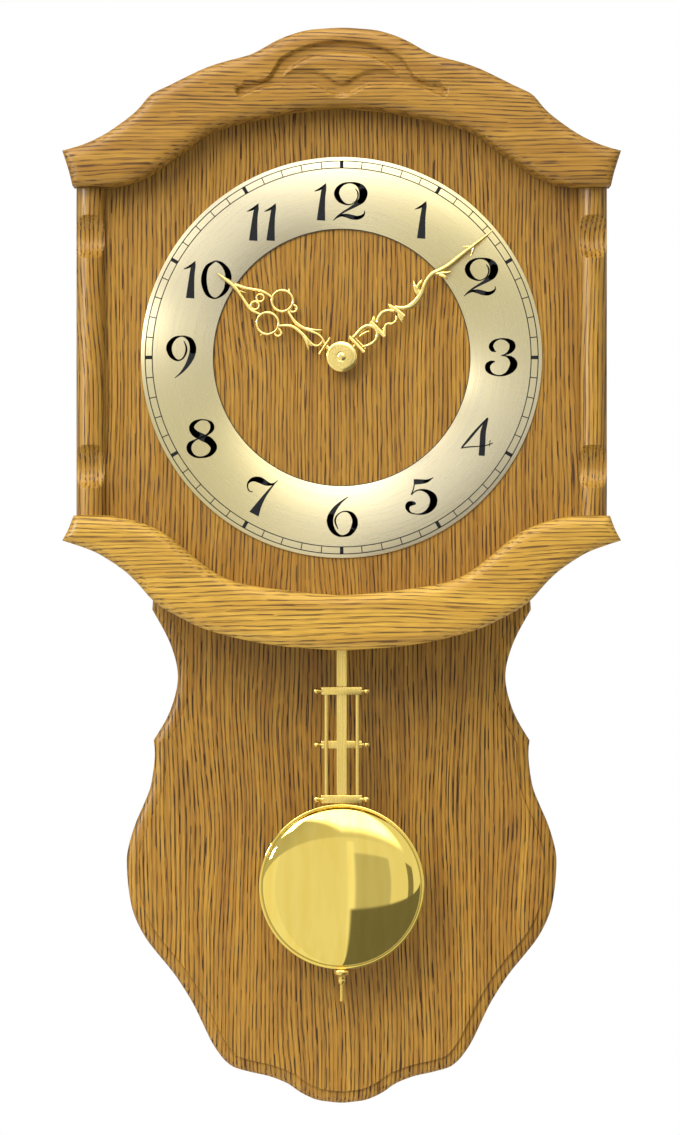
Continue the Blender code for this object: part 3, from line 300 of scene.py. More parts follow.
def stretched(tree, along, across, length, shift=(0, 0, 0)):
    # coordinates that run in lengths of one pattern cell: across mm over the grain, length mm along it
    place = add(tree, "ShaderNodeTexCoord").outputs["Object"]
    size = [1 / (across * mm)] * 3
    size[along] = 1 / (length * mm)
    return add(tree, "ShaderNodeMapping", {"Location": shift, "Scale": size},
               {"Vector": place}).outputs["Vector"]


def noise(tree, coords, detail=2.0, rough=0.5):
    return add(tree, "ShaderNodeTexNoise", {"Scale": 1.0, "Detail": detail, "Roughness": rough},
               {"Vector": coords}).outputs["Fac"]


def ranged(tree, value, low, high, start=0.0, end=1.0, soft=True):
    return add(tree, "ShaderNodeMapRange",
               {"interpolation_type": "SMOOTHSTEP" if soft else "LINEAR", "From Min": low,
               "From Max": high, "To Min": start, "To Max": end}, {"Value": value}).outputs["Result"]


def mixed(tree, factor, one, other, blend="MIX"):
    node = add(tree, "ShaderNodeMix", {"data_type": "RGBA", "blend_type": blend})
    for index, value in ((0, factor), (6, one), (7, other)):
        if isinstance(value, bpy.types.NodeSocket):
            tree.links.new(value, node.inputs[index])
        else:
            node.inputs[index].default_value = value
    return node.outputs[2]


# Stained oak: open pores as dark dashes along the grain, a darker line each year, soft bands of colour.
# Real pores are 0.3 mm wide; they are drawn about 0.4 mm wide, so that they still show.
oakLooks = {
    "crown": {"lacquer": 0.1, "along": 0, "light": "AD8538", "mid": "956C27", "streak": "664213",
              "pore": "3A2110", "poreAmount": 0.85, "streakAmount": 0.34, "poreLength": 20,
              "shift": (3, 1, 2)},
    "moulding": {"lacquer": 0.1, "along": 0, "light": "D0A847", "mid": "B58B35", "streak": "77511A",
                 "pore": "412713", "poreAmount": 0.8, "streakAmount": 0.34, "poreLength": 20,
                 "shift": (9, 4, 7)},
    "pilaster": {"lacquer": 0.12, "along": 2, "light": "B68E39", "mid": "9E752B", "streak": "6D4716",
                 "pore": "402512", "poreAmount": 0.95, "streakAmount": 0.5, "poreLength": 17,
                 "shift": (5, 2, 1)},
    "panel": {"lacquer": 0.05, "along": 2, "light": "B08838", "mid": "946C27", "streak": "674114",
              "pore": "3B2110", "poreAmount": 0.95, "streakAmount": 0.5, "poreLength": 15,
              "shift": (1, 8, 3)},
    "board": {"lacquer": 0.05, "along": 2, "light": "BF933A", "mid": "9C7028", "streak": "663F14",
              "pore": "2E190C", "poreAmount": 0.95, "streakAmount": 0.5, "poreLength": 15,
              "shift": (7, 3, 9)},
    "side": {"lacquer": 0.1, "along": 2, "light": "B28A38", "mid": "966C27", "streak": "633F14",
             "pore": "38200F", "poreAmount": 0.95, "streakAmount": 0.45, "poreLength": 15,
             "shift": (2, 6, 4)},
}


def oak(name, look):
    material, tree, shader = newMaterial(name, {
        "Base Color": linear(look["mid"]), "Roughness": 0.5, "IOR": 1.5, "Specular IOR Level": 0.3,
        "Coat Weight": look["lacquer"], "Coat Roughness": 0.3})
    along, shift = look["along"], look["shift"]
    # the grain drifts sideways a few millimetres
    wander = noise(tree, stretched(tree, along, 55, 140, shift), 1)
    place = add(tree, "ShaderNodeTexCoord").outputs["Object"]
    offset = add(tree, "ShaderNodeVectorMath",
                 {"operation": "SCALE", 0: [0.0 if i == along else 1.0 for i in range(3)]},
                 {"Scale": ranged(tree, wander, 0, 1, -7 * mm, 7 * mm, False)}).outputs["Vector"]
    place = add(tree, "ShaderNodeVectorMath", {"operation": "ADD"}, {0: place, 1: offset}).outputs["Vector"]

    def cells(across, length, move):  # the board is flat sawn, so the figure changes slowly with depth
        size = [1 / (across * mm), 0.3 / (across * mm), 1 / (across * mm)]
        size[along] = 1 / (length * mm)
        return add(tree, "ShaderNodeMapping", {"Location": [s + move for s in shift], "Scale": size},
                   {"Vector": place}).outputs["Vector"]

    bands = noise(tree, cells(6, 170, 0), 3, 0.55)
    # a year every 2.6 mm
    rings = add(tree, "ShaderNodeTexWave",
                {"bands_direction": "X" if along == 2 else "Z", "Scale": 0.314, "Distortion": 3.2,
                "Detail": 1.0, "Detail Scale": 2.6}, {"Vector": cells(2.6, 90, 3)}).outputs["Fac"]
    pores = noise(tree, cells(0.38, look["poreLength"], 7), 0, 0.5)
    fibre = noise(tree, cells(0.36, 10, 11), 0.5, 0.5)
    colour = mixed(tree, ranged(tree, bands, 0.25, 0.75), linear(look["light"]), linear(look["mid"]))
    ringMask = ranged(tree, rings, 0.45, 0.95)
    strength = add(tree, "ShaderNodeMath", {"operation": "MULTIPLY", 1: look["streakAmount"]},
                   {0: ringMask}).outputs[0]
    colour = mixed(tree, strength, colour, linear(look["streak"]))
    fibreTone = add(tree, "ShaderNodeMath", {"operation": "MULTIPLY", 1: 0.22},
                    {0: ranged(tree, fibre, 0.35, 0.65)}).outputs[0]
    colour = mixed(tree, fibreTone, colour, linear(look["streak"]))
    poreMask = ranged(tree, pores, 0.5, 0.55)
    crowd = ranged(tree, rings, 0.4, 0.85, 0.15, 1.0)  # pores crowd into the early wood of each year
    poreMask = add(tree, "ShaderNodeMath", {"operation": "MULTIPLY"}, {0: poreMask, 1: crowd}).outputs[0]
    strength = add(tree, "ShaderNodeMath", {"operation": "MULTIPLY", 1: look["poreAmount"]},
                   {0: poreMask}).outputs[0]
    colour = mixed(tree, strength, colour, linear(look["pore"]))
    tree.links.new(colour, shader.inputs["Base Color"])
    tree.links.new(ranged(tree, poreMask, 0, 1, 0.42, 0.62, False), shader.inputs["Roughness"])
    height = add(tree, "ShaderNodeMath", {"operation": "MULTIPLY_ADD", 1: -1.0, 2: 1.0},
                 {0: poreMask}).outputs[0]
    height = add(tree, "ShaderNodeMath", {"operation": "MULTIPLY_ADD", 1: -0.25},
                 {0: ringMask, 2: height}).outputs[0]
    bump = add(tree, "ShaderNodeBump", {"Strength": 0.5, "Distance": 0.12 * mm}, {"Height": height})
    tree.links.new(bump.outputs["Normal"], shader.inputs["Normal"])
    return material


# Birch plywood on the inner boards: pale, with fine lines of veneer on its edges, 0.3 mm apart.
def plywood(name):
    material, tree, shader = newMaterial(name,
                                         {"Base Color": linear("CFA469"), "Roughness": 0.6, "IOR": 1.5})
    layers = add(tree, "ShaderNodeTexWave",
                 {"wave_type": "BANDS", "bands_direction": "Z", "Scale": 0.5, "Distortion": 0.6,
                  "Detail": 1.0},
                 {"Vector": stretched(tree, 2, 14, 0.45)}).outputs["Fac"]
    colour = mixed(tree, ranged(tree, layers, 0.25, 0.75), linear("D6AE75"), linear("A97A45"))
    colour = mixed(tree, ranged(tree, noise(tree, stretched(tree, 0, 0.9, 22), 2), 0.4, 0.7, 0, 0.4),
                   colour, linear("A5743E"))
    tree.links.new(colour, shader.inputs["Base Color"])
    return material


# Dial ring: aluminium brushed in circles and anodised champagne gold, so light gathers in rays; the bright
# and dark quarters of those rays are also painted into its colour as a painted sheen.
dialLook = {"colour": "E3D9BA", "deep": "DDD1AC", "groove": 0.55, "grooveDepth": 0.004, "roughness": 0.3,
            # the last two entries set the painted sheen: its axis in degrees, and how far red, green and
            # blue drop in its deeper quarters
            "anisotropy": 0.8, "paintedSheenTurn": 130, "paintedSheenDrop": (0.26, 0.29, 0.46)}


def dialMetal(name, look):
    material, tree, shader = newMaterial(name, {
        "Base Color": linear(look["colour"]), "Metallic": 1.0, "Roughness": look["roughness"],
        "Anisotropic": look["anisotropy"], "Anisotropic Rotation": 0.25})
    place = add(tree, "ShaderNodeTexCoord").outputs["Object"]
    fromAxis = add(tree, "ShaderNodeVectorMath", {"operation": "SUBTRACT", 1: (0, 0, dialHeight)},
                   {0: place}).outputs["Vector"]
    flat = add(tree, "ShaderNodeVectorMath", {"operation": "MULTIPLY", 1: (1, 0, 1)},
               {0: fromAxis}).outputs["Vector"]
    radius = add(tree, "ShaderNodeVectorMath", {"operation": "LENGTH"}, {0: flat}).outputs["Value"]
    rings = add(tree, "ShaderNodeMath", {"operation": "DIVIDE", 1: look["groove"] * mm},
                {0: radius}).outputs[0]
    ray = add(tree, "ShaderNodeVectorMath", {"operation": "NORMALIZE"}, {0: flat}).outputs["Vector"]
    around = add(tree, "ShaderNodeVectorMath", {"operation": "SCALE", "Scale": 1.6},
                 {0: ray}).outputs["Vector"]
    parts = add(tree, "ShaderNodeSeparateXYZ", None, {0: around})
    polar = add(tree, "ShaderNodeCombineXYZ", None,
                {0: parts.outputs[0], 1: rings, 2: parts.outputs[2]}).outputs[0]
    grooves = noise(tree, polar, 2, 0.6)
    tone = ranged(tree, grooves, 0.3, 0.7)
    colour = mixed(tree, tone, linear(look["colour"]), linear(look["deep"]))
    # painted sheen: two paler and two deeper quarters about a line at the given turn, painted into the
    # colour as the highlight of the brushed circles, the deeper quarters yellower
    turn = math.radians(look["paintedSheenTurn"])
    grain = add(tree, "ShaderNodeVectorMath",
                {"operation": "DOT_PRODUCT", 1: (math.cos(turn), 0, math.sin(turn))},
                {0: ray}).outputs["Value"]
    paintedSheen = add(tree, "ShaderNodeMath", {"operation": "MULTIPLY"}, {0: grain, 1: grain}).outputs[0]
    paintedSheenLevels = [ranged(tree, paintedSheen, 0, 1, 1 - drop, 1, False) for drop in look["paintedSheenDrop"]]
    level = add(tree, "ShaderNodeCombineColor", None, dict(enumerate(paintedSheenLevels))).outputs[0]
    colour = mixed(tree, 1.0, colour, level, "MULTIPLY")
    tree.links.new(colour, shader.inputs["Base Color"])
    tree.links.new(ranged(tree, grooves, 0.3, 0.7, look["roughness"] - 0.04, look["roughness"] + 0.05),
                   shader.inputs["Roughness"])
    bump = add(tree, "ShaderNodeBump", {"Strength": 0.12, "Distance": look["grooveDepth"] * mm},
               {"Height": grooves})
    tree.links.new(bump.outputs["Normal"], shader.inputs["Normal"])
    tree.links.new(add(tree, "ShaderNodeTangent", {"direction_type": "RADIAL", "axis": "Y"}).outputs[0],
                   shader.inputs["Tangent"])
    return material


# Brass in its states: buffed and gilt pieces mirror the room, drawn and stamped ones carry fine tool lines.
brassLooks = {
    "mirror": {"colour": "EAD16E", "deep": "E6CA64", "roughness": 0.03, "spread": 0.01, "along": 2,
               "across": 5.0, "length": 60, "bump": 0.0},
    "gilt": {"colour": "F3DC8C", "deep": "E6C76B", "roughness": 0.16, "spread": 0.05, "along": 1,
             "across": 0.8, "length": 2, "bump": 0.01},
    "satin": {"colour": "EBCF78", "deep": "DDBC60", "roughness": 0.24, "spread": 0.06, "along": 2,
              "across": 0.5, "length": 30, "bump": 0.006},
    "turned": {"colour": "E9CB70", "deep": "D4AE50", "roughness": 0.18, "spread": 0.06, "along": 0,
               "across": 0.6, "length": 8, "bump": 0.012},
    "cut": {"colour": "D9B55C", "deep": "B98F3E", "roughness": 0.32, "spread": 0.1, "along": 1,
            "across": 0.9, "length": 6, "bump": 0.015},
}


def brass(name, look):
    material, tree, shader = newMaterial(name,
                                         {"Base Color": linear(look["colour"]), "Metallic": 1.0,
                                          "Roughness": look["roughness"]})
    lines = noise(tree, stretched(tree, look["along"], look["across"], look["length"]), 2, 0.55)
    tree.links.new(mixed(tree, ranged(tree, lines, 0.35, 0.7), linear(look["colour"]),
                         linear(look["deep"])), shader.inputs["Base Color"])
    tree.links.new(ranged(tree, lines, 0.3, 0.7, look["roughness"], look["roughness"] + look["spread"]),
                   shader.inputs["Roughness"])
    if look["bump"]:
        bump = add(tree, "ShaderNodeBump", {"Strength": 0.4, "Distance": look["bump"] * mm},
                   {"Height": lines})
        tree.links.new(bump.outputs["Normal"], shader.inputs["Normal"])
    return material


# Other finishes, each with a fine mottle: colours, grain in mm, roughness, how deep the grain is.
plainLooks = {
    # glossy enamel ink, slightly raised
    "screenPrintInk": {"colour": "0E0F12", "other": "1A1C20", "grain": 0.6, "roughness": 0.3,
                       "deep": 0.004, "metal": 0, "index": 1.3},
    # spark-eroded mould texture, dull black
    "mouldedAbs": {"colour": "17181A", "other": "222325", "grain": 0.7, "roughness": 0.48, "deep": 0.05,
                   "metal": 0},
    # milky gear plastic
    "naturalAcetal": {"colour": "ECE9DE", "other": "DDD8C8", "grain": 3.0, "roughness": 0.35, "deep": 0.01,
                      "metal": 0},
    # bright zinc with a faint bloom
    "zincPlate": {"colour": "B4B8BC", "other": "8E9398", "grain": 2.2, "roughness": 0.36, "deep": 0.01,
                  "metal": 1},
    # ground pin
    "brightSteel": {"colour": "C9CBCD", "other": "AEB1B4", "grain": 0.8, "roughness": 0.24, "deep": 0.006,
                    "metal": 1},
    # stamped stator plate
    "siliconSteel": {"colour": "8F9499", "other": "7A7F85", "grain": 1.2, "roughness": 0.4, "deep": 0.01,
                     "metal": 1},
    # battery contact
    "nickelStrip": {"colour": "D4D2C9", "other": "B9B6AC", "grain": 1.0, "roughness": 0.22, "deep": 0.006,
                    "metal": 1},
    # grainy dark grey
    "sinteredMagnet": {"colour": "4A4B4E", "other": "35363A", "grain": 0.5, "roughness": 0.5, "deep": 0.02,
                       "metal": 1},
    # dull, soft edges
    "nitrileRubber": {"colour": "1B1B1C", "other": "28282A", "grain": 1.1, "roughness": 0.85, "deep": 0.05,
                      "metal": 0},
}


def plain(name, look):
    material, tree, shader = newMaterial(name, {
        "Base Color": linear(look["colour"]), "Metallic": float(look["metal"]),
        "Roughness": look["roughness"]})
    if not look["metal"]:
        shader.inputs["IOR"].default_value = look.get("index", 1.49)
    mottle = noise(tree, stretched(tree, 2, look["grain"], look["grain"]), 3, 0.6)
    tree.links.new(mixed(tree, ranged(tree, mottle, 0.3, 0.7), linear(look["colour"]),
                         linear(look["other"])), shader.inputs["Base Color"])
    tree.links.new(ranged(tree, mottle, 0.3, 0.7, look["roughness"] - 0.04, look["roughness"] + 0.08),
                   shader.inputs["Roughness"])
    bump = add(tree, "ShaderNodeBump", {"Strength": 0.5, "Distance": look["deep"] * mm}, {"Height": mottle})
    tree.links.new(bump.outputs["Normal"], shader.inputs["Normal"])
    return material


# Enamelled copper wire, wound in turns: real wire is 0.1 mm, drawn 0.5 mm so that the turns show.
def copperCoil(name, direction):
    material, tree, shader = newMaterial(name,
                                         {"Base Color": linear("B8643A"), "Metallic": 1.0,
                                          "Roughness": 0.32, "Coat Weight": 0.6, "Coat Roughness": 0.15})
    turns = add(tree, "ShaderNodeTexWave",
                {"wave_type": "BANDS", "bands_direction": direction, "Scale": 0.5, "Distortion": 0.4},
                {"Vector": stretched(tree, 2, 0.8, 0.8)}).outputs["Fac"]
    tree.links.new(mixed(tree, turns, linear("8E4322"), linear("CE7A48")), shader.inputs["Base Color"])
    bump = add(tree, "ShaderNodeBump", {"Strength": 0.7, "Distance": 0.1 * mm}, {"Height": turns})
    tree.links.new(bump.outputs["Normal"], shader.inputs["Normal"])
    return material


# Glass-fibre circuit board: green mask with paler copper tracks under it.
def circuitBoard(name):
    material, tree, shader = newMaterial(name,
                                         {"Base Color": linear("1F5B34"), "Roughness": 0.3, "IOR": 1.5,
                                          "Coat Weight": 0.5, "Coat Roughness": 0.1})
    tracks = add(tree, "ShaderNodeTexVoronoi", {"feature": "DISTANCE_TO_EDGE"},
                 {"Vector": stretched(tree, 1, 4, 4)}).outputs["Distance"]
    tree.links.new(mixed(tree, ranged(tree, tracks, 0.05, 0.1), linear("4E8F55"), linear("1F5B34")),
                   shader.inputs["Base Color"])
    return material


# Cell in a shrink sleeve: dark lower part and copper-coloured top, in glossy PVC over steel.
def cellSleeve(name, split):
    material, tree, shader = newMaterial(name,
                                         {"Base Color": linear("23262B"), "Roughness": 0.28, "IOR": 1.53,
                                          "Coat Weight": 0.4, "Coat Roughness": 0.12})
    height = add(tree, "ShaderNodeSeparateXYZ", None,
                 {0: add(tree, "ShaderNodeTexCoord").outputs["Object"]}).outputs["Z"]
    upper = ranged(tree, height, split - 0.1 * mm, split + 0.1 * mm)
    streak = ranged(tree, noise(tree, stretched(tree, 2, 0.8, 20), 2), 0.3, 0.7, 0, 0.3)
    colour = mixed(tree, upper, mixed(tree, streak, linear("23262B"), linear("3A3F46")),
                   mixed(tree, streak, linear("B9783F"), linear("8E5728")))
    tree.links.new(colour, shader.inputs["Base Color"])
    return material


oaks = {key: oak("stainedOak_" + key, look) for key, look in oakLooks.items()}
brasses = {key: brass(key + "Brass", look) for key, look in brassLooks.items()}
plains = {key: plain(key, look) for key, look in plainLooks.items()}
champagne = dialMetal("brushedAnodisedAluminium", dialLook)
ply = plywood("birchPlywood")
coilWire = copperCoil("enamelledCopper", "X")
coilFace = copperCoil("enamelledCopperFlat", "DIAGONAL")
board = circuitBoard("greenCircuitBoard")
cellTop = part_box("battery")[1].z - 15 * mm
sleeve = cellSleeve("batterySleeve", cellTop)
print("finishes made")

finishOf = {
    "dial_panel": oaks["panel"], "side_panel_left": oaks["side"], "side_panel_right": oaks["side"],
    "case_top": ply, "case_bottom": ply,
    "hanger_plate": plains["zincPlate"], "hanger_screw_left": plains["zincPlate"],
    "hanger_screw_right": plains["zincPlate"],
    "wall_pad_left": plains["nitrileRubber"], "wall_pad_right": plains["nitrileRubber"],
    "rubber_gasket": plains["nitrileRubber"],
    "movement_housing": plains["mouldedAbs"], "movement_cover": plains["mouldedAbs"],
    "setting_knob": plains["mouldedAbs"],
    "train_bridge": plains["naturalAcetal"], "centre_bush": brasses["turned"],
    "nut_washer": brasses["turned"], "bush_nut": brasses["turned"],
    "centre_wheel": brasses["cut"], "stator": plains["siliconSteel"], "motor_coil": coilWire,
    "drive_coil": coilFace, "circuit_board": board,
    "battery": sleeve, "contact_positive": plains["nickelStrip"], "contact_negative": plains["nickelStrip"],
    "drive_magnet": plains["sinteredMagnet"], "rotor_magnet": plains["sinteredMagnet"],
    "swing_pin": plains["brightSteel"],
    "swing_leaf": brasses["satin"], "bob_back": brasses["satin"], "threaded_rod": brasses["turned"],
    "pendulum_strip": brasses["satin"],
    "side_rod_left": brasses["satin"], "side_rod_right": brasses["satin"],
}
for wheel in ("hour_wheel", "motion_wheel", "third_wheel", "second_wheel", "step_wheel", "rotor_pinion"):
    finishOf[wheel] = plains["naturalAcetal"]
for number in range(1, 5):
    finishOf[f"board_screw_{number}"] = plains["zincPlate"]
for node, finish in finishOf.items():
    for place in nodes[node].material_slots:
        place.material = finish


railLook = {"roundWidth": 7.5, "roundDepth": 5.5, "step": 4.0, "edgeStep": 1.8}
carving = {  # left halves, from the tip to the middle line, in mm from the middle of the carving
    "above": 64, "deep": 3.6, "wall": 2.2, "lensWall": 2.2, "lensLow": 0.6,
    "groundTop": [(-61, -11.8), (-63.2, -9), (-61.8, -5.8), (-57.5, -4), (-50.6, -2.7), (-43.9, 0),
                  (-39.8, 5.8), (-35.6, 11.6), (-25.7, 16.8), (-12.4, 20.7), (0, 21.6)],
    "groundBottom": [(-58.9, -11.7), (-50.6, -8.3), (-40.6, -6.1), (-29, -5), (-17.4, -5.4), (-10.8, -8),
                     (-4.6, -11.2), (0, -12)],
    "lensTop": [(-35.6, -0.4), (-30.7, 5.8), (-22.4, 11.4), (-12.4, 14.5), (0, 15.3)],
    "lensBottom": [(-34.2, 0.6), (-27.4, 2.6), (-17.4, 2.4), (-9.1, -0.9), (-4.3, -4.2), (0, -5.4)],
}


def roundedRows(width, count):
    return [width * mm * (1 - math.cos(0.5 * math.pi * i / count)) for i in range(1, count)] + [width * mm]


def roundOver(distance, width, depth):  # quarter round from the face down to the edge
    t = np.clip(distance / (width * mm), 0, 1)
    return depth * mm * (1 - np.sqrt(np.clip(1 - (1 - t) ** 2, 0, 1)))


def bothHalves(top, bottom, middle):
    over, under = smooth(top, 8), smooth(bottom, 8)
    loop = over + [(-x, z) for x, z in over[-2::-1]] + [(-x, z) for x, z in under] + under[-2::-1]
    return [(x * mm, middle + z * mm) for x, z in loop]


def makeRail(name, node, finish, sunkMore=None, finer=None):
    low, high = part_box(node)
    outline = fineOutline(faceLoops(node, high.y)[0], railLook["edgeStep"] * mm)
    look = railLook

    def sunk(points, distance):
        depth = roundOver(distance, look["roundWidth"], look["roundDepth"])
        return depth + sunkMore(points) if sunkMore else depth

    shape, rim = relief(outline, roundedRows(look["roundWidth"], 6), look["step"] * mm, low.y, high.y,
                        sunk, finer=finer)
    closeRear(shape, rim, high.y)
    return piece(name, shape, finish, "case", (node,))


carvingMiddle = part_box("crown")[0].z + carving["above"] * mm
ground = bothHalves(carving["groundTop"], carving["groundBottom"], carvingMiddle)
lens = bothHalves(carving["lensTop"], carving["lensBottom"], carvingMiddle)


def carved(points):
    inGround, inLens = inside(points, ground) / mm, inside(points, lens) / mm
    floor = carving["deep"] * ramp(inGround, -0.4, carving["wall"])
    hump = ramp(inLens, -0.6, carving["lensWall"]) * ramp(inLens, -0.6, 7) ** 0.25
    return mm * floor * (1 - hump * (1 - carving["lensLow"] / carving["deep"]))


edge = np.array(ground)
near = [tuple(p) for p in edge + np.sign(edge - [0, carvingMiddle]) * 2.5 * mm]
makeRail("crownCarved", "crown", oaks["crown"], carved, (near, 0.6 * mm))
makeRail("mouldingShaped", "lower_moulding", oaks["moulding"])
print("crown and lower moulding made")

boardLook = {"edgeWidth": 6.0, "edgeDepth": 6.5, "stepDepth": 2.2, "stepAt": 7.4, "stepWidth": 0.4,
             "step": 9.0, "edgeStep": 2.0}


def makeBoard():
    low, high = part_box("back_board")
    loops = faceLoops("back_board", high.y)
    frontWindow = faceLoops("back_board", low.y)
    window = [l for l in frontWindow if max(p[0] for p in l) < 40 * mm][0]
    outline = fineOutline(loops[0], boardLook["edgeStep"] * mm)
    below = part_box("lower_moulding")[0].z + 60 * mm

    def sunk(points, distance):
        look = boardLook
        shown = ramp(points[:, 1], below + 4 * mm, below)
        moulded = look["stepDepth"] * mm * ramp(-distance / mm, -look["stepAt"] - look["stepWidth"],
                                                -look["stepAt"])
        return shown * (moulded + roundOver(distance, look["edgeWidth"],
                                            look["edgeDepth"] - look["stepDepth"]))

    rows = roundedRows(boardLook["edgeWidth"], 5) + [(boardLook["stepAt"] - 0.2) * mm,
                                                     boardLook["stepAt"] * mm,
                                                     (boardLook["stepAt"] + 0.5) * mm, 8.4 * mm]
    shape, rim = relief(outline, rows, boardLook["step"] * mm, low.y, high.y, sunk, [window])
    pits = []
    for number in range(1, 5):
        a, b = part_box(f"board_screw_{number}")
        x, z = (a.x + b.x) / 2, (a.z + b.z) / 2
        pits.append((circle(x, z, 3.8 * mm, 24),
                     [(high.y - 0.4 * mm, 1.0), (high.y - 2.6 * mm, 0.54), (high.y - 5 * mm, 0.54)]))
    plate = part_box("hanger_plate")
    pocket = [(-8 * mm, plate[0].z + 1 * mm), (8 * mm, plate[0].z + 1 * mm), (8 * mm, plate[1].z - 2 * mm),
              (-8 * mm, plate[1].z - 2 * mm)]
    pits.append((pocket, [(high.y - 9 * mm, 1.0)]))
    closeRear(shape, rim, high.y, pits)
    piece("boardShaped", shape, oaks["board"], "case", ("back_board",))


makeBoard()
print("back board made")

pilasterLook = {"deep": 11.5, "sides": 2.0, "coveRadius": 14, "coveTall": 26, "coveApart": 137}


def makePilaster(name, node):
    low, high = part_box(node)
    look = pilasterLook
    middle, half = (low.z + high.z) / 2, (high.x - low.x) / 2
    centre = (low.x + high.x) / 2
    notch = look["coveRadius"] - math.sqrt(look["coveRadius"] ** 2 - (look["coveTall"] / 2) ** 2)
    across = [-math.cos(math.pi * i / 20) for i in range(21)]
    rows = list(np.arange(low.z, high.z, 1.6 * mm)) + [high.z]
    for cove in (-1, 1):
        place = middle + cove * look["coveApart"] / 2 * mm
        rows += [place + s * look["coveTall"] / 2 * mm * k for s in (-1, 1)
                 for k in (0.9, 0.96, 0.985, 1.0, 1.015, 1.04)]
    rows = sorted(set(rows))
    shape = bmesh.new()
    lines = []
    for z in rows:
        line = []
        for u in across:
            y = high.y - (look["sides"] + (look["deep"] - look["sides"]) * math.sqrt(max(0, 1 - u * u))) * mm
            for cove in (-1, 1):
                away = abs(z - middle - cove * look["coveApart"] / 2 * mm) / mm
                if away < look["coveRadius"]:
                    # the cove is deepest at its middle and runs out at the half round's surface
                    rise = look["coveRadius"] - math.sqrt(look["coveRadius"] ** 2 - away ** 2)
                    y = max(y, high.y + (notch - rise - look["deep"]) * mm)
            line.append(shape.verts.new((centre + u * half, y, z)))
        line.insert(0, shape.verts.new((low.x, high.y, z)))
        line.append(shape.verts.new((high.x, high.y, z)))
        lines.append(line)
    for one, other in zip(lines, lines[1:]):
        for i in range(len(one) - 1):
            shape.faces.new((one[i], one[i + 1], other[i + 1], other[i]))
        shape.faces.new((one[-1], one[0], other[0], other[-1]))
    shape.faces.new(lines[0])
    shape.faces.new(lines[-1])
    piece(name, shape, oaks["pilaster"], "case", (node,))


makePilaster("pilasterLeftFluted", "pilaster_left")
makePilaster("pilasterRightFluted", "pilaster_right")
print("pilasters made")

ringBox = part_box("dial_ring")
outer, bore = ringBox[1].x, 76.5 * mm
ringFront, ringRear = ringBox[0].y, ringBox[1].y


def makeRing():
    ease = 0.25 * mm
    shape = bmesh.new()
    profile = [(bore, ringRear), (bore, ringFront + ease), (bore + 0.3 * ease, ringFront + 0.3 * ease),
               (bore + ease, ringFront),
               (outer - ease, ringFront), (outer - 0.3 * ease, ringFront + 0.3 * ease),
               (outer, ringFront + ease), (outer, ringRear)]
    spun(shape, profile, 240, (0, 0, dialHeight))
    piece("dialRingBrushed", shape, champagne, "case", ("dial_ring",), sharp=50)


makeRing()

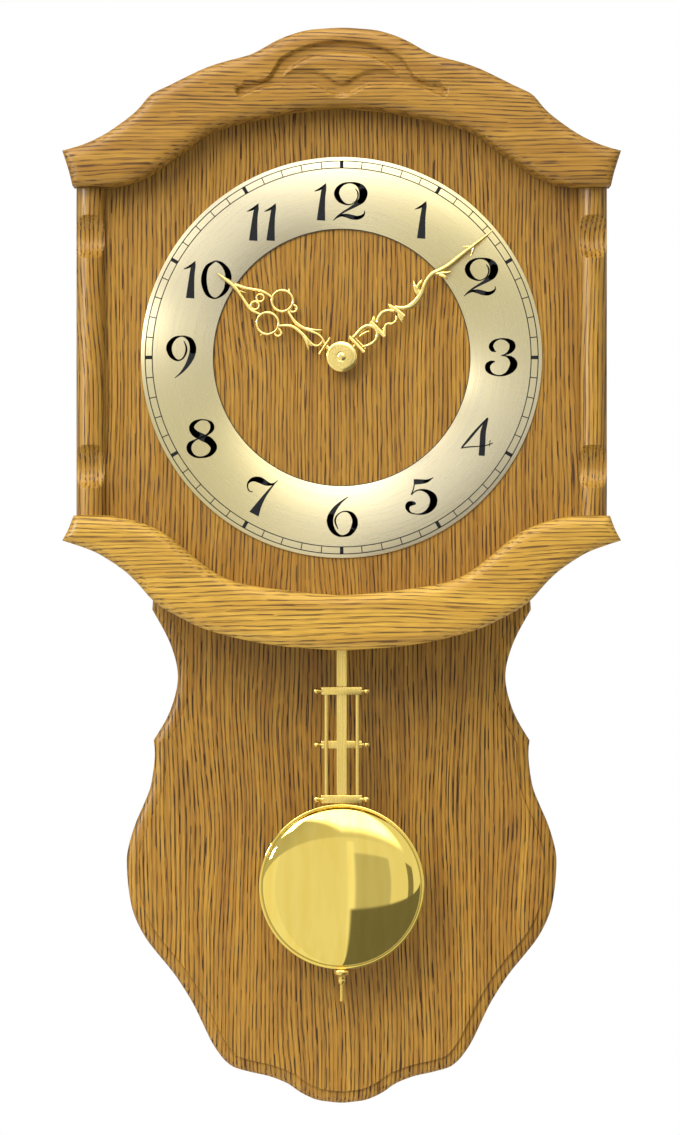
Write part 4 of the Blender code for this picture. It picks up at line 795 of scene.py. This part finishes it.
# Numerals, drawn with a broad pen: (across, up, width) in mm about the middle of each figure
figures = {
    "0": [[(1.1, 10.8, 0.9), (4.8, 8.9, 2.1), (8.0, 4.6, 3.4), (8.6, -0.8, 3.8), (6.6, -7.4, 2.5),
           (1.1, -11.6, 0.9), (-3.9, -8.8, 2.5), (-6.0, -0.8, 3.4), (-4.2, 7.0, 2.3), (1.1, 10.8, 0.9)]],
    "1": [[(2.7, 10.3, 0.6), (1.8, 8.0, 2.6), (0.9, 2.3, 3.1), (0.3, -4.4, 4.0), (-0.2, -11.6, 5.1)],
          [(2.9, 10.6, 0.3), (-0.5, 7.4, 1.4), (-4.0, 5.9, 0.4)]],
    "2": [[(2.9, 7.4, 0.5), (4.3, 4.9, 0.9), (4.2, 2.2, 0.9), (2.7, -0.4, 0.7), (-0.6, -2.1, 0.7),
           (-4.0, -1.4, 1.4), (-6.9, 0.9, 2.8), (-8.4, 4.3, 3.2), (-7.4, 7.6, 2.5), (-4.5, 10.1, 1.5),
           (-0.5, 11.0, 0.9), (3.5, 10.2, 2.0), (6.4, 7.9, 4.1), (7.6, 4.6, 5.0), (6.6, 0.9, 4.1),
           (3.5, -1.9, 2.7), (-0.5, -4.4, 1.6), (-4.5, -6.7, 1.2), (-7.8, -9.2, 1.1), (-10.4, -11.6, 0.4)],
          [(-9.2, -10.5, 0.5), (-5.8, -8.7, 1.2), (-2.5, -8.7, 2.4), (0.8, -9.6, 2.8), (4.1, -10.0, 2.3),
           (6.8, -9.0, 1.7), (8.2, -7.4, 0.9), (8.2, -5.6, 0.3)]],
    "3": [[(-3.2, 3.4, 0.4), (-5.3, 4.6, 2.4), (-6.2, 6.9, 2.7), (-4.5, 9.6, 1.7), (-0.9, 11.1, 0.8),
           (3.1, 10.6, 1.7), (6.1, 8.6, 3.3), (6.6, 6.2, 3.6), (5.1, 3.6, 2.4), (2.5, 1.9, 1.1),
           (-0.2, 1.1, 0.5)],
          [(-0.2, 1.1, 0.5), (2.8, 0.8, 0.9), (5.8, -0.7, 2.9), (7.4, -3.7, 4.5), (6.1, -7.0, 3.9),
           (3.1, -9.7, 2.0), (-0.9, -10.9, 0.9), (-5.2, -10.0, 1.3), (-7.8, -7.7, 2.8), (-8.2, -5.0, 3.1),
           (-6.5, -3.1, 2.3), (-3.9, -2.3, 0.7)]],
    "4": [[(5.8, 10.8, 0.7), (2.5, 7.2, 1.2), (-1.9, 2.3, 1.5), (-5.8, -2.4, 1.5), (-9.5, -6.7, 0.9)],
          [(-10.2, -7.2, 0.7), (-5.2, -6.5, 0.8), (0.1, -6.2, 0.7), (4.8, -5.6, 0.7), (9.1, -4.2, 0.5)],
          [(6.0, 10.9, 0.9), (4.6, 7.6, 2.4), (3.2, 2.3, 3.3), (2.8, -4.4, 3.5), (2.3, -11.8, 3.7)],
          [(7.4, -2.5, 0.5), (6.9, -6.2, 0.5)]],
    "5": [[(-4.4, 7.9, 3.3), (0.1, 8.0, 2.8), (3.5, 8.4, 1.9), (7.3, 10.5, 0.3)],
          [(-4.0, 6.9, 0.8), (-4.6, 3.6, 0.7), (-5.8, 0.1, 1.1)],
          [(-5.7, 0.4, 0.7), (-3.2, 2.4, 0.8), (0.1, 3.1, 1.1), (4.1, 1.9, 2.5), (7.1, -1.1, 4.2),
           (7.3, -5.0, 4.4), (5.1, -8.7, 3.1), (1.5, -10.9, 1.6), (-2.5, -11.4, 0.7), (-6.5, -10.4, 1.1),
           (-8.2, -7.7, 2.4), (-7.2, -5.4, 3.2), (-4.5, -5.0, 2.4), (-3.3, -5.6, 0.9)]],
    "6": [[(4.0, 13.7, 0.5), (0.5, 11.2, 1.1), (-3.2, 7.6, 2.3), (-6.2, 2.9, 3.5), (-7.0, -1.4, 3.9),
           (-5.5, -6.0, 3.1), (-2.5, -9.0, 1.9), (0.8, -9.8, 1.1), (4.8, -8.4, 2.3), (7.3, -4.7, 3.5),
           (8.0, -0.7, 3.3), (6.4, 2.9, 2.5), (3.5, 4.8, 1.1), (0.1, 4.6, 0.7), (-2.9, 2.3, 0.9),
           (-3.9, -1.1, 1.1), (-2.2, -5.6, 0.5)]],
    "7": [[(-5.4, 2.5, 0.5), (-7.5, 2.9, 0.7), (-8.6, 5.6, 0.8), (-7.8, 8.2, 1.3), (-4.8, 9.9, 2.7),
           (-1.2, 9.4, 3.7), (2.1, 7.7, 3.1), (5.1, 6.8, 1.6), (7.4, 7.4, 0.9), (9.6, 9.2, 0.3)],
          [(8.1, 7.9, 0.5), (4.8, 3.9, 1.2), (1.5, -0.4, 2.0), (-1.9, -5.7, 3.7), (-4.7, -11.0, 6.3)]],
    "8": [[(3.5, 10.6, 0.9), (-0.5, 11.0, 0.9), (-4.5, 9.2, 2.3), (-6.2, 6.2, 3.1), (-4.2, 2.9, 4.0),
           (0.1, 0.6, 4.4), (4.8, -1.9, 4.4), (7.1, -5.7, 3.9), (4.8, -9.7, 2.3), (0.1, -11.4, 1.1),
           (-4.5, -10.7, 1.5), (-7.5, -7.4, 2.8), (-7.2, -3.7, 2.7), (-3.9, -1.1, 1.1), (0.1, 0.6, 0.7),
           (3.8, 2.6, 1.3), (6.1, 5.6, 2.5), (5.8, 8.6, 2.1), (3.5, 10.6, 0.9)]],
    "9": [[(-3.7, -12.2, 0.4), (0.1, -9.0, 1.3), (3.5, -4.7, 2.5), (6.2, 0.6, 3.7), (7.1, 5.6, 3.9),
           (5.8, 9.9, 3.1), (2.8, 12.2, 1.5), (-0.2, 12.7, 0.8), (-3.9, 11.4, 2.0), (-6.6, 8.2, 3.2),
           (-7.2, 4.6, 3.3), (-5.5, 0.6, 2.4), (-2.2, -1.7, 1.1), (0.8, -0.7, 0.9), (2.8, 2.6, 1.2),
           (3.1, 6.2, 1.1), (1.6, 9.9, 0.5)]],
}
numerals = {  # hour: ((figure, across in mm), ...), how far out
    12: ((("1", -12.2), ("2", 5.4)), 93.5), 1: ((("1", 0),), 95.5), 2: ((("2", 0),), 96.5),
    3: ((("3", 0),), 95.5), 4: ((("4", 0),), 94.0),
    5: ((("5", 0),), 95.0), 6: ((("6", 0),), 97.0), 7: ((("7", 0),), 95.5), 8: ((("8", 0),), 96.5),
    9: ((("9", 0),), 96.0),
    10: ((("1", -9.0), ("0", 5.0)), 94.0), 11: ((("1", -5.7), ("1", 4.7)), 94.0),
}
track = {"outside": 117.5, "inside": 113.3, "line": 0.56, "bar": 2.1, "raised": 0.05,
         "boreLine": (76.55, 77.0)}
pen = {"least": 0.5, "tightTurn": 0.12, "steps": 7, "discCorners": 14}


def penStroke(shape, line, depth):
    pts = smooth(line, pen["steps"])
    rows = []
    for i, (x, z, width) in enumerate(pts):
        a, b = pts[max(0, i - 1)], pts[min(len(pts) - 1, i + 1)]
        along = math.hypot(b[0] - a[0], b[1] - a[1]) or 1
        nx, nz = -(b[1] - a[1]) / along, (b[0] - a[0]) / along
        w = max(width, pen["least"]) / 2 * mm
        rows.append([shape.verts.new((x * mm + s * nx * w, depth, z * mm + s * nz * w)) for s in (-1, 1)])
    for one, other in zip(rows, rows[1:]):
        shape.faces.new((one[0], one[1], other[1], other[0]))
    made = [v for row in rows for v in row]
    # a disc fills each tight turn of the pen
    for before, (x, z, width), after in zip(pts, pts[2:], pts[4:]):
        turn = Vector((x - before[0], z - before[1])).angle(Vector((after[0] - x, after[1] - z)), 0)
        ends = min(math.dist((x, z), pts[0][:2]), math.dist((x, z), pts[-1][:2]))
        if turn > pen["tightTurn"] and ends > width:
            disc = [shape.verts.new((a, depth, b)) for a,
                    b in circle(x * mm, z * mm, width / 2 * mm, pen["discCorners"])]
            shape.faces.new(disc)
            made += disc
    return made


def makePrint():
    shape = bmesh.new()
    depth = ringFront - track["raised"] * mm

    def arcStrip(inner, outerEdge, start, end, count):
        rows = []
        for i in range(count + 1):
            a = start + (end - start) * i / count
            rows.append([shape.verts.new((r * mm * math.sin(a), depth,
                                          dialHeight + r * mm * math.cos(a))) for r in (inner, outerEdge)])
        for one, other in zip(rows, rows[1:]):
            shape.faces.new((one[0], one[1], other[1], other[0]))

    for radius in (track["inside"], track["outside"]):
        arcStrip(radius - track["line"] / 2, radius + track["line"] / 2, 0, 2 * math.pi, 240)
    arcStrip(*track["boreLine"], 0, 2 * math.pi, 240)  # thin line round the bore
    for minute in range(60):
        middle = math.radians(6 * minute)
        half = (track["bar"] if minute % 5 == 0 else track["line"]) / 2 / track["inside"]
        arcStrip(track["inside"], track["outside"], middle - half, middle + half, 2)
    for hour, (parts, out) in numerals.items():
        angle = math.radians(30 * hour)
        x, z = out * mm * math.sin(angle), dialHeight + out * mm * math.cos(angle)
        for figure, across in parts:
            for line in figures[figure]:
                for v in penStroke(shape, line, depth):
                    v.co.x += x + across * mm
                    v.co.z += z
    for face in shape.faces:
        if face.normal.length == 0:
            face.normal_update()
        if face.normal.y > 0:
            face.normal_flip()
    mesh = bpy.data.meshes.new("dialPrint")
    shape.to_mesh(mesh)
    shape.free()
    mesh.materials.append(plains["screenPrintInk"])
    made = bpy.data.objects.new("dialPrint", mesh)
    bpy.context.scene.collection.objects.link(made)
    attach(made, "case")


makePrint()
print("dial made")

# Hands: stamped brass scrollwork, each line (along, across, width) in mm from the dial axis.
handLook = {"thin": 0.25, "crown": 0.5, "bold": 1.22, "sides": 7}
hourLook = {
    "angle": 304, "hub": (2.8, 5.0), "lift": 1.1,
    "lines": [
        [(3, 0, 1.8), (8, 0, 1.6), (12.2, 0, 1.8)],
        [(12.2, 5.9, 1.7), (12.0, 5.0, 1.5), (12.0, 0, 1.5), (12.0, -5.0, 1.5), (12.0, -6.0, 1.7)],
        [(12.6, 0.6, 1.3), (15.4, 2.6, 1.3), (18.9, 3.4, 1.3), (22.4, 2.8, 1.5), (27.0, 1.9, 2.0),
         (31, 1.5, 2.1), (34.8, 1.9, 2.0), (37.8, 2.9, 1.8), (40.4, 4.1, 1.6), (42.6, 5.4, 1.3)],
        [(27.5, 2.2, 1.5), (22.9, 3.9, 1.7), (18.8, 6.7, 0.5)],
        [(14.9, 1.9, 1.2), (14.6, -0.5, 1.3), (16.0, -2.8, 1.3), (18.7, -3.4, 1.4), (22, -2.8, 1.6),
         (25.6, -2.0, 2.1), (29.6, -1.4, 2.1), (33.5, -1.2, 1.9), (37.2, -2.4, 1.7), (40.6, -5.0, 1.4),
         (42.2, -6.6, 1.2)],
        [(26.5, -2.2, 1.5), (22.3, -4.2, 2.2), (18.8, -7.6, 0.6)], [(21.5, -4.4, 1.4), (18.2, -4.5, 0.5)],
        [(41.8, 9.6, 1.0), (39.4, 9.9, 1.3), (38.0, 8.5, 1.4), (38.3, 6.7, 1.4), (40.2, 5.6, 1.3),
         (42.0, 6.6, 1.5)],
        [(42.0, -6.8, 1.3), (39.6, -7.2, 1.3), (37.6, -8.4, 1.4), (37.8, -10.4, 1.4), (39.6, -11.2, 1.3),
         (41.6, -10.6, 1.0)],
        [(47.6, 14.3, 1.4), (48.8, 16.3, 0.4)], [(47.0, -14.6, 1.4), (47.2, -16.9, 0.4)],
        [(53.4, 6.0, 1.5), (55.6, 6.4, 1.5), (58.0, 6.4, 1.6), (61.6, 5.9, 1.7), (65.7, 4.2, 1.7),
         (69.5, 2.4, 1.8), (73.3, 1.2, 1.9), (77.0, -0.1, 1.7)],
        [(53.6, -5.8, 1.4), (56.4, -6.4, 1.5), (60.1, -6.9, 1.9), (63.3, -6.1, 2.1), (67.2, -4.4, 1.9),
         (71.0, -2.8, 1.8), (75.1, -1.3, 2.0), (79.4, -0.5, 2.0), (84.6, -0.2, 1.5), (89.3, 0, 0.5)],
        [(73.0, -1.6, 1.3), (68.9, -0.2, 0.4)],
    ],
    "rings": [(48.0, 8.0, 6.3, 1.6), (47.8, -8.1, 6.5, 1.6), (59.9, 2.1, 2.2, 1.2), (60.0, -3.5, 2.4, 1.3)],
}
minuteLook = {
    "angle": 50, "hub": (1.8, 4.2), "lift": 1.0,
    "lines": [
        [(3, 0, 1.6), (8, 0, 1.4), (11, 0, 1.4)],
        [(11.0, -6.2, 2.3), (11.3, -5.0, 2.1), (11.6, 0, 2.1), (11.9, 5.0, 2.1), (12.0, 6.5, 2.3)],
        [(13.2, -5.6, 1.2), (13.6, 0, 0.9), (14.0, 5.4, 1.2)],
        [(12.6, -4.2, 1.8), (15.4, -4.5, 2.2), (19.4, -4.9, 2.5), (23.0, -4.4, 2.3), (25.6, -2.3, 2.1),
         (26.2, 0.9, 2.1), (24.4, 4.0, 2.0), (20.8, 5.6, 1.9), (16.9, 5.2, 1.9), (13.4, 3.6, 1.8)],
        [(15.8, -2.4, 1.0), (17.8, -2.2, 1.5), (20.2, -1.9, 1.2), (22.4, -1.2, 0.5)],
        [(26.5, -5.0, 2.0), (26.9, -2.0, 2.6), (27.1, 2.5, 2.6), (27.3, 7.3, 1.9)],
        [(27.2, -3.6, 2.4), (29.0, -5.0, 1.7), (30.3, -6.2, 0.5)],
        [(27.9, 6.6, 1.6), (29.6, 4.4, 1.7), (31.6, 2.7, 1.5), (33.6, 2.6, 1.3), (35.8, 4.4, 1.5),
         (38.6, 4.3, 1.5), (40.6, 2.4, 1.3)],
        [(29.2, -2.0, 2.0), (31.8, -3.6, 2.2), (35.6, -4.4, 2.3), (39.4, -2.9, 1.9), (41.4, -0.8, 1.7)],
        [(41.3, -5.9, 1.4), (42.2, -3.0, 2.2), (43.2, 0.5, 2.4), (44.3, 5.4, 1.8)],
        [(43.4, 2.0, 2.6), (42.2, 4.6, 3.2), (40.9, 7.9, 0.5)],
        [(43.4, -2.4, 1.8), (45.6, 0.2, 2.1), (48.4, 2.4, 2.6), (52.0, 3.5, 3.4), (56.4, 3.0, 3.2),
         (60.8, 1.5, 2.7), (65.0, -0.9, 2.3), (69.1, -2.5, 2.3), (73.8, -2.9, 2.5), (78.6, -1.6, 2.6),
         (84.4, -0.6, 2.5), (90.6, -0.5, 2.4), (96.7, -0.4, 2.2), (102.6, -0.2, 1.9), (109, 0, 1.5),
         (116.9, 0, 0.8)],
        [(58.8, 1.0, 2.0), (59.8, -2.2, 3.0), (60.8, -4.9, 1.5), (61.8, -7.0, 0.4)],
        [(60.0, -2.0, 2.0), (63.4, -3.6, 1.8), (66.0, -4.4, 0.4)],
        [(74.6, -1.6, 1.6), (77.8, 0.4, 2.0), (80.2, 2.0, 1.4), (82.4, 3.0, 0.4)],
        [(76.0, -0.2, 1.8), (77.6, 2.6, 2.0), (78.0, 5.2, 0.5)],
        [(101.0, -0.6, 1.4), (99.4, -2.2, 1.0), (97.4, -3.8, 0.4)],
        [(102.4, 0.4, 1.5), (100.2, 2.0, 1.2), (97.6, 3.5, 0.4)],
    ],
    "rings": [],
}


def handLine(shape, line, turn, rear, lift, closed=False):
    pts = smooth([(s, t, w * handLook["bold"]) for s, t, w in line], 5, closed)
    rows = []
    sides = handLook["sides"]
    for i, (s, t, width) in enumerate(pts):
        a = pts[i - 1] if closed or i else pts[0]
        b = pts[(i + 1) % len(pts)] if closed or i < len(pts) - 1 else pts[-1]
        along = math.hypot(b[0] - a[0], b[1] - a[1]) or 1
        ns, nt = -(b[1] - a[1]) / along, (b[0] - a[0]) / along
        high = min(handLook["crown"] * width, lift)
        row = [turn(s - ns * width / 2, t - nt * width / 2) + (rear,)]
        for k in range(sides):
            u = -1 + 2 * k / (sides - 1)
            rise = handLook["thin"] + high * math.sqrt(1 - u * u)
            row.append(turn(s + ns * u * width / 2, t + nt * u * width / 2) + (rear - rise * mm,))
        row.append(turn(s + ns * width / 2, t + nt * width / 2) + (rear,))
        rows.append([shape.verts.new((x, y, z)) for x, z, y in row])
    for one, other in zip(rows, rows[1:] + (rows[:1] if closed else [])):
        for k in range(len(one)):
            shape.faces.new((one[k - 1], one[k], other[k], other[k - 1]))
    if not closed:
        shape.faces.new(rows[0])
        shape.faces.new(rows[-1])


def makeHand(name, node, body, look):
    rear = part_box(node)[1].y
    angle = math.radians(look["angle"])

    def turn(s, t):
        return ((s * math.sin(angle) + t * math.cos(angle)) * mm,
                dialHeight + (s * math.cos(angle) - t * math.sin(angle)) * mm)

    shape = bmesh.new()
    inner, rim = look["hub"]
    spun(shape,
         [(inner * mm, rear), (rim * mm, rear), (rim * mm, rear - 0.5 * mm),
          (inner * mm, rear - 0.5 * mm)], 48, (0, 0, dialHeight))
    for i, line in enumerate(look["lines"]):
        handLine(shape, line, turn, rear, 0.25 if i == 0 else look["lift"])
    for s, t, radius, width in look["rings"]:
        loop = [(s + radius * math.cos(a), t + radius * math.sin(a),
                 width) for a in [math.pi * k / 6 for k in range(12)]]
        handLine(shape, loop, turn, rear, look["lift"], True)
    piece(name, shape, brasses["gilt"], body, (node,), sharp=60)


makeHand("hourHandScrolled", "hour_hand", "hands_hour", hourLook)
makeHand("minuteHandScrolled", "minute_hand", "hands_minute", minuteLook)

capLook = {"dome": 0.3, "boss": 2.6, "bossHigh": 1.3}


def makeCap():
    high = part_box("hand_nut")[1]
    radius = high.x / mm
    seat = high.y / mm
    shape = bmesh.new()
    front = seat - 1.7
    profile = [(1.8, seat), (radius - 0.3, seat), (radius, seat - 0.3), (radius, seat - 0.9),
               (radius - 0.15, seat - 1.25), (radius - 0.6, seat - 1.55), (radius - 1.4, front - 0.1)]
    for i in range(1, 7):
        r = (radius - 1.4) + (capLook["boss"] + 0.5 - radius + 1.4) * i / 6
        profile.append((r, front - 0.1 - capLook["dome"] * (1 - (r / radius) ** 2)))
    top = profile[-1][1]
    profile.append((capLook["boss"], top + 0.15))
    for i in range(1, 9):
        a = 0.5 * math.pi * i / 8
        profile.append((capLook["boss"] * math.cos(a), top + 0.1 - capLook["bossHigh"] * 0.8 * math.sin(a)))
    profile[-1] = (0, profile[-1][1])
    profile += [(0, seat - 0.9), (1.8, seat - 0.9)]
    spun(shape, [(r * mm, y * mm) for r, y in profile], 72, (0, 0, dialHeight))
    piece("handCap", shape, brasses["gilt"], "hands_minute", ("hand_nut",), sharp=40)


makeCap()
print("hands made")

bobLook = {"rim": 1.5, "dome": 9.0, "steps": 28, "sheet": 0.8}


def makeBob():
    low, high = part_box("bob_front")
    radius = high.x / mm
    rim = high.y / mm
    centre = (0, 0, (low.z + high.z) / 2)
    shape = bmesh.new()
    a = radius - bobLook["rim"]
    face = rim - 1.5
    profile = []
    for i in range(bobLook["steps"] + 1):
        angle = 0.5 * math.pi * i / bobLook["steps"]
        profile.append((a * math.sin(angle), face - bobLook["dome"] * math.cos(angle)))
    profile += [(a + 0.25, face - 0.1), (radius - 0.5, face), (radius - 0.15, face + 0.15),
                (radius, face + 0.5), (radius, rim), (radius - 2, rim)]
    for i in range(bobLook["steps"], -1, -4):
        angle = 0.5 * math.pi * i / bobLook["steps"]
        profile.append(((a - 1.5) * math.sin(angle),
                        face + bobLook["sheet"] - bobLook["dome"] * math.cos(angle)))
    spun(shape, [(r * mm, y * mm) for r, y in profile], 128, centre)
    piece("bobDome", shape, brasses["mirror"], "bob", ("bob_front",), sharp=50)


makeBob()

barLook = {"ease": 0.35, "ball": 1.9, "neck": 0.85, "finish": "satin"}


def makeCrossbar(number):
    node = f"crossbar_{number}"
    low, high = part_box(node)
    z = (low.z + high.z) / 2
    y = (low.y + high.y) / 2
    reach = high.x / mm
    tall, thick, half = 4.8, 1.2, 12.3
    shape = bmesh.new()
    bar(shape, (-half * mm, y - thick / 2 * mm, z - tall / 2 * mm),
        (half * mm, y + thick / 2 * mm, z + tall / 2 * mm), barLook["ease"] * mm)
    ball, neck = barLook["ball"], barLook["neck"]
    for side in (-1, 1):
        middle = reach - ball
        profile = [(0, half - 1.5), (neck, half - 1.5), (neck, half + 0.3), (neck + 0.55, half + 0.5),
                   (neck + 0.55, half + 0.9), (neck, half + 1.1)]
        for i in range(1, 12):
            a = math.pi * (0.17 + 0.83 * i / 11)
            profile.append((ball * math.sin(a), middle - ball * math.cos(a)))
        profile[-1] = (0, profile[-1][1])
        spun(shape, [(r * mm, side * x * mm) for r, x in profile], 24, (0, y, z), "X")
    piece(f"crossbar{number}Finialed", shape, brasses[barLook["finish"]], "pendulum", (node,), sharp=45)


for number in (1, 2, 3):
    makeCrossbar(number)


def makeNut():
    low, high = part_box("rating_nut")
    top, bottom = high.z / mm, low.z / mm
    centre = ((low.x + high.x) / 2, (low.y + high.y) / 2, 0)
    wide = (high.x - low.x) / 2 / mm
    profile = [(1.55, top), (wide - 0.3, top), (wide, top - 0.3), (wide, top - 2.6),
               (wide - 0.3, top - 2.9), (wide - 0.9, top - 3.3),
               (2.9, top - 4.2), (2.3, top - 5.4), (2.6, top - 6.4), (2.5, top - 7.4),
               (1.95, bottom + 0.3), (1.55, bottom)]
    shape = bmesh.new()
    spun(shape, [(r * mm, z * mm) for r, z in profile], 48, centre, "Z")
    piece("ratingNutTurned", shape, brasses["turned"], "nut", ("rating_nut",), sharp=45)


makeNut()
print("pendulum made")

stageLook = {"floorDrop": 1.25, "floorRadius": 2.0, "floorColour": "F7F6F3"}


def makeFloor():
    material, tree, shader = newMaterial("paintedFloor",
                                         {"Base Color": linear(stageLook["floorColour"]), "Roughness": 0.9})
    speck = noise(tree, stretched(tree, 2, 14, 14), 3)
    tree.links.new(mixed(tree, ranged(tree, speck, 0.3, 0.7), linear("F7F6F3"), linear("F1F0ED")),
                   shader.inputs["Base Color"])
    shader.inputs["Emission Color"].default_value = (1, 1, 1, 1)
    shader.inputs["Emission Strength"].default_value = 0.3
    shape = bmesh.new()
    bmesh.ops.create_circle(shape, cap_ends=True, segments=96, radius=stageLook["floorRadius"])
    mesh = bpy.data.meshes.new("floor")
    shape.to_mesh(mesh)
    shape.free()
    mesh.materials.append(material)
    floor = bpy.data.objects.new("floor", mesh)
    floor.location = (0, 0, -stageLook["floorDrop"])
    bpy.context.scene.collection.objects.link(floor)
    floor.visible_glossy = False


makeFloor()

lights = {  # place, aimed at, size in m, watts, colour, seen in metal
    "keySoftbox": ((-0.95, -2.15, 1.0), (0, 0, -0.2), 1.3, 56, "FFF8EE", False),
    "overheadSoftbox": ((-0.2, -1.0, 1.7), (0, -0.05, -0.1), 1.0, 22, "FFFBF5", False),
    "sideSoftbox": ((-1.3, -1.1, 1.2), (0, -0.08, -0.1), 0.9, 22, "FFFBF5", True),
    "stripSoftbox": ((-1.85, -1.15, 0.33), (0, -0.08, -0.1), 0.3, 34, "FFFFFF", True),
}
for name, (place, aim, size, watts, colour, mirrored) in lights.items():
    data = bpy.data.lights.new(name, "AREA")
    data.shape = "SQUARE"
    data.size = size
    data.energy = watts
    data.color = linear(colour)[:3]
    lamp = bpy.data.objects.new(name, data)
    lamp.location = place
    lamp.rotation_euler = (Vector(aim) - Vector(place)).to_track_quat("-Z", "Y").to_euler()
    lamp.visible_camera = False
    lamp.visible_glossy = mirrored
    lamp.visible_diffuse = not mirrored
    bpy.context.scene.collection.objects.link(lamp)


# what the polished metal mirrors: edges as slopes across and up from straight ahead, with brightness
roomLook = {
    "wall": 1.0, "farWall": 1.1, "cornice": 0.62, "ceilingLight": 4.8, "behind": 0.5,
}
roomPatches = {  # left, right, bottom, top as slopes, then brightness
    "doorFrame": (0.03, 0.07, -9, 0.2, 1.2),
    "door": (0.07, 0.31, -0.2, 0.11, 0.66),
    "cupboard": (0.62, 0.9, -0.35, 0.15, 0.3),
    "floor": (0.045, 9, -9, -0.19, 0.2),
}


def makeWorld():
    # white to the eye; a soft sky lights the wood; the metal mirrors a pale room with a broad ceiling light
    world = bpy.data.worlds.new("studio")
    bpy.context.scene.world = world
    world.use_nodes = True
    world.cycles.sampling_method = "NONE"
    tree = world.node_tree
    look = roomLook
    ray = add(tree, "ShaderNodeTexCoord").outputs["Generated"]
    parts = add(tree, "ShaderNodeSeparateXYZ", None, {0: ray})
    up = parts.outputs["Z"]
    ahead = add(tree, "ShaderNodeMath", {"operation": "MULTIPLY", 1: -1.0},
                {0: parts.outputs["Y"]}).outputs[0]
    near = add(tree, "ShaderNodeMath", {"operation": "MAXIMUM", 1: 0.05}, {0: ahead}).outputs[0]
    across = add(tree, "ShaderNodeMath", {"operation": "DIVIDE"},
                 {0: parts.outputs["X"], 1: near}).outputs[0]
    rise = add(tree, "ShaderNodeMath", {"operation": "DIVIDE"}, {0: up, 1: near}).outputs[0]

    def between(value, low, high, soft=0.012):
        one, other = ranged(tree, value, low - soft, low + soft), ranged(tree, value, high + soft,
            high - soft)
        return add(tree, "ShaderNodeMath", {"operation": "MULTIPLY"}, {0: one, 1: other}).outputs[0]

    def patch(base, mask, other, level):
        factor = add(tree, "ShaderNodeMath", {"operation": "MULTIPLY"}, {0: mask, 1: other}).outputs[0]
        return mixed(tree, factor, base, (level, level, level, 1))

    room = mixed(tree, between(across, -9, -0.62), (look["wall"],) * 3 + (1,), (look["farWall"],) * 3 + (1,))
    for left, right, bottom, top, level in roomPatches.values():
        room = patch(room, between(across, left, right), between(rise, bottom, top), level)
    shade = ranged(tree, across, -0.6, 0.5, look["cornice"], look["wall"], False)
    cornice = between(rise, 0.235, 9)
    room = mixed(tree, cornice, room,
                 add(tree, "ShaderNodeCombineColor", None, {0: shade, 1: shade, 2: shade}).outputs[0])
    leftward = add(tree, "ShaderNodeMath", {"operation": "MINIMUM", 1: 0.0}, {0: across}).outputs[0]
    edge = add(tree, "ShaderNodeMath", {"operation": "MULTIPLY_ADD", 1: 1.1},
               {0: leftward, 2: rise}).outputs[0]
    room = patch(room, between(edge, 0.36, 99, 0.1), between(across, -9, 0.6, 0.2), look["ceilingLight"])
    room = mixed(tree, ranged(tree, ahead, 0.06, 0.0), room, (look["behind"],) * 3 + (1,))
    sky = mixed(tree, ranged(tree, up, -0.45, 0.15), (0.07, 0.066, 0.06, 1), (0.36, 0.36, 0.35, 1))
    sky = mixed(tree, ranged(tree, up, 0.1, 0.9), sky, (0.85, 0.85, 0.85, 1))
    seen = add(tree, "ShaderNodeLightPath").outputs
    mirrored = add(tree, "ShaderNodeBackground", None, {"Color": room})
    soft = add(tree, "ShaderNodeBackground", None, {"Color": sky})
    white = add(tree, "ShaderNodeBackground", {"Color": (1, 1, 1, 1)})
    both = add(tree, "ShaderNodeMixShader", None,
               {0: seen["Is Glossy Ray"], 1: soft.outputs[0], 2: mirrored.outputs[0]})
    both = add(tree, "ShaderNodeMixShader", None,
               {0: seen["Is Camera Ray"], 1: both.outputs[0], 2: white.outputs[0]})
    tree.links.new(both.outputs[0], tree.nodes["World Output"].inputs["Surface"])


makeWorld()
bpy.context.scene.view_settings.view_transform = "Standard"

cameraLook = {"place": (-0.001, -2.481, -0.2256), "lens": 127.3}
camera = bpy.data.objects.new("camera", bpy.data.cameras.new("camera"))
camera.location = cameraLook["place"]
camera.rotation_euler = (math.pi / 2, 0, 0)
camera.data.lens = cameraLook["lens"]
camera.data.sensor_width = 36
bpy.context.scene.collection.objects.link(camera)
bpy.context.scene.camera = camera
print("stage, light and camera made")
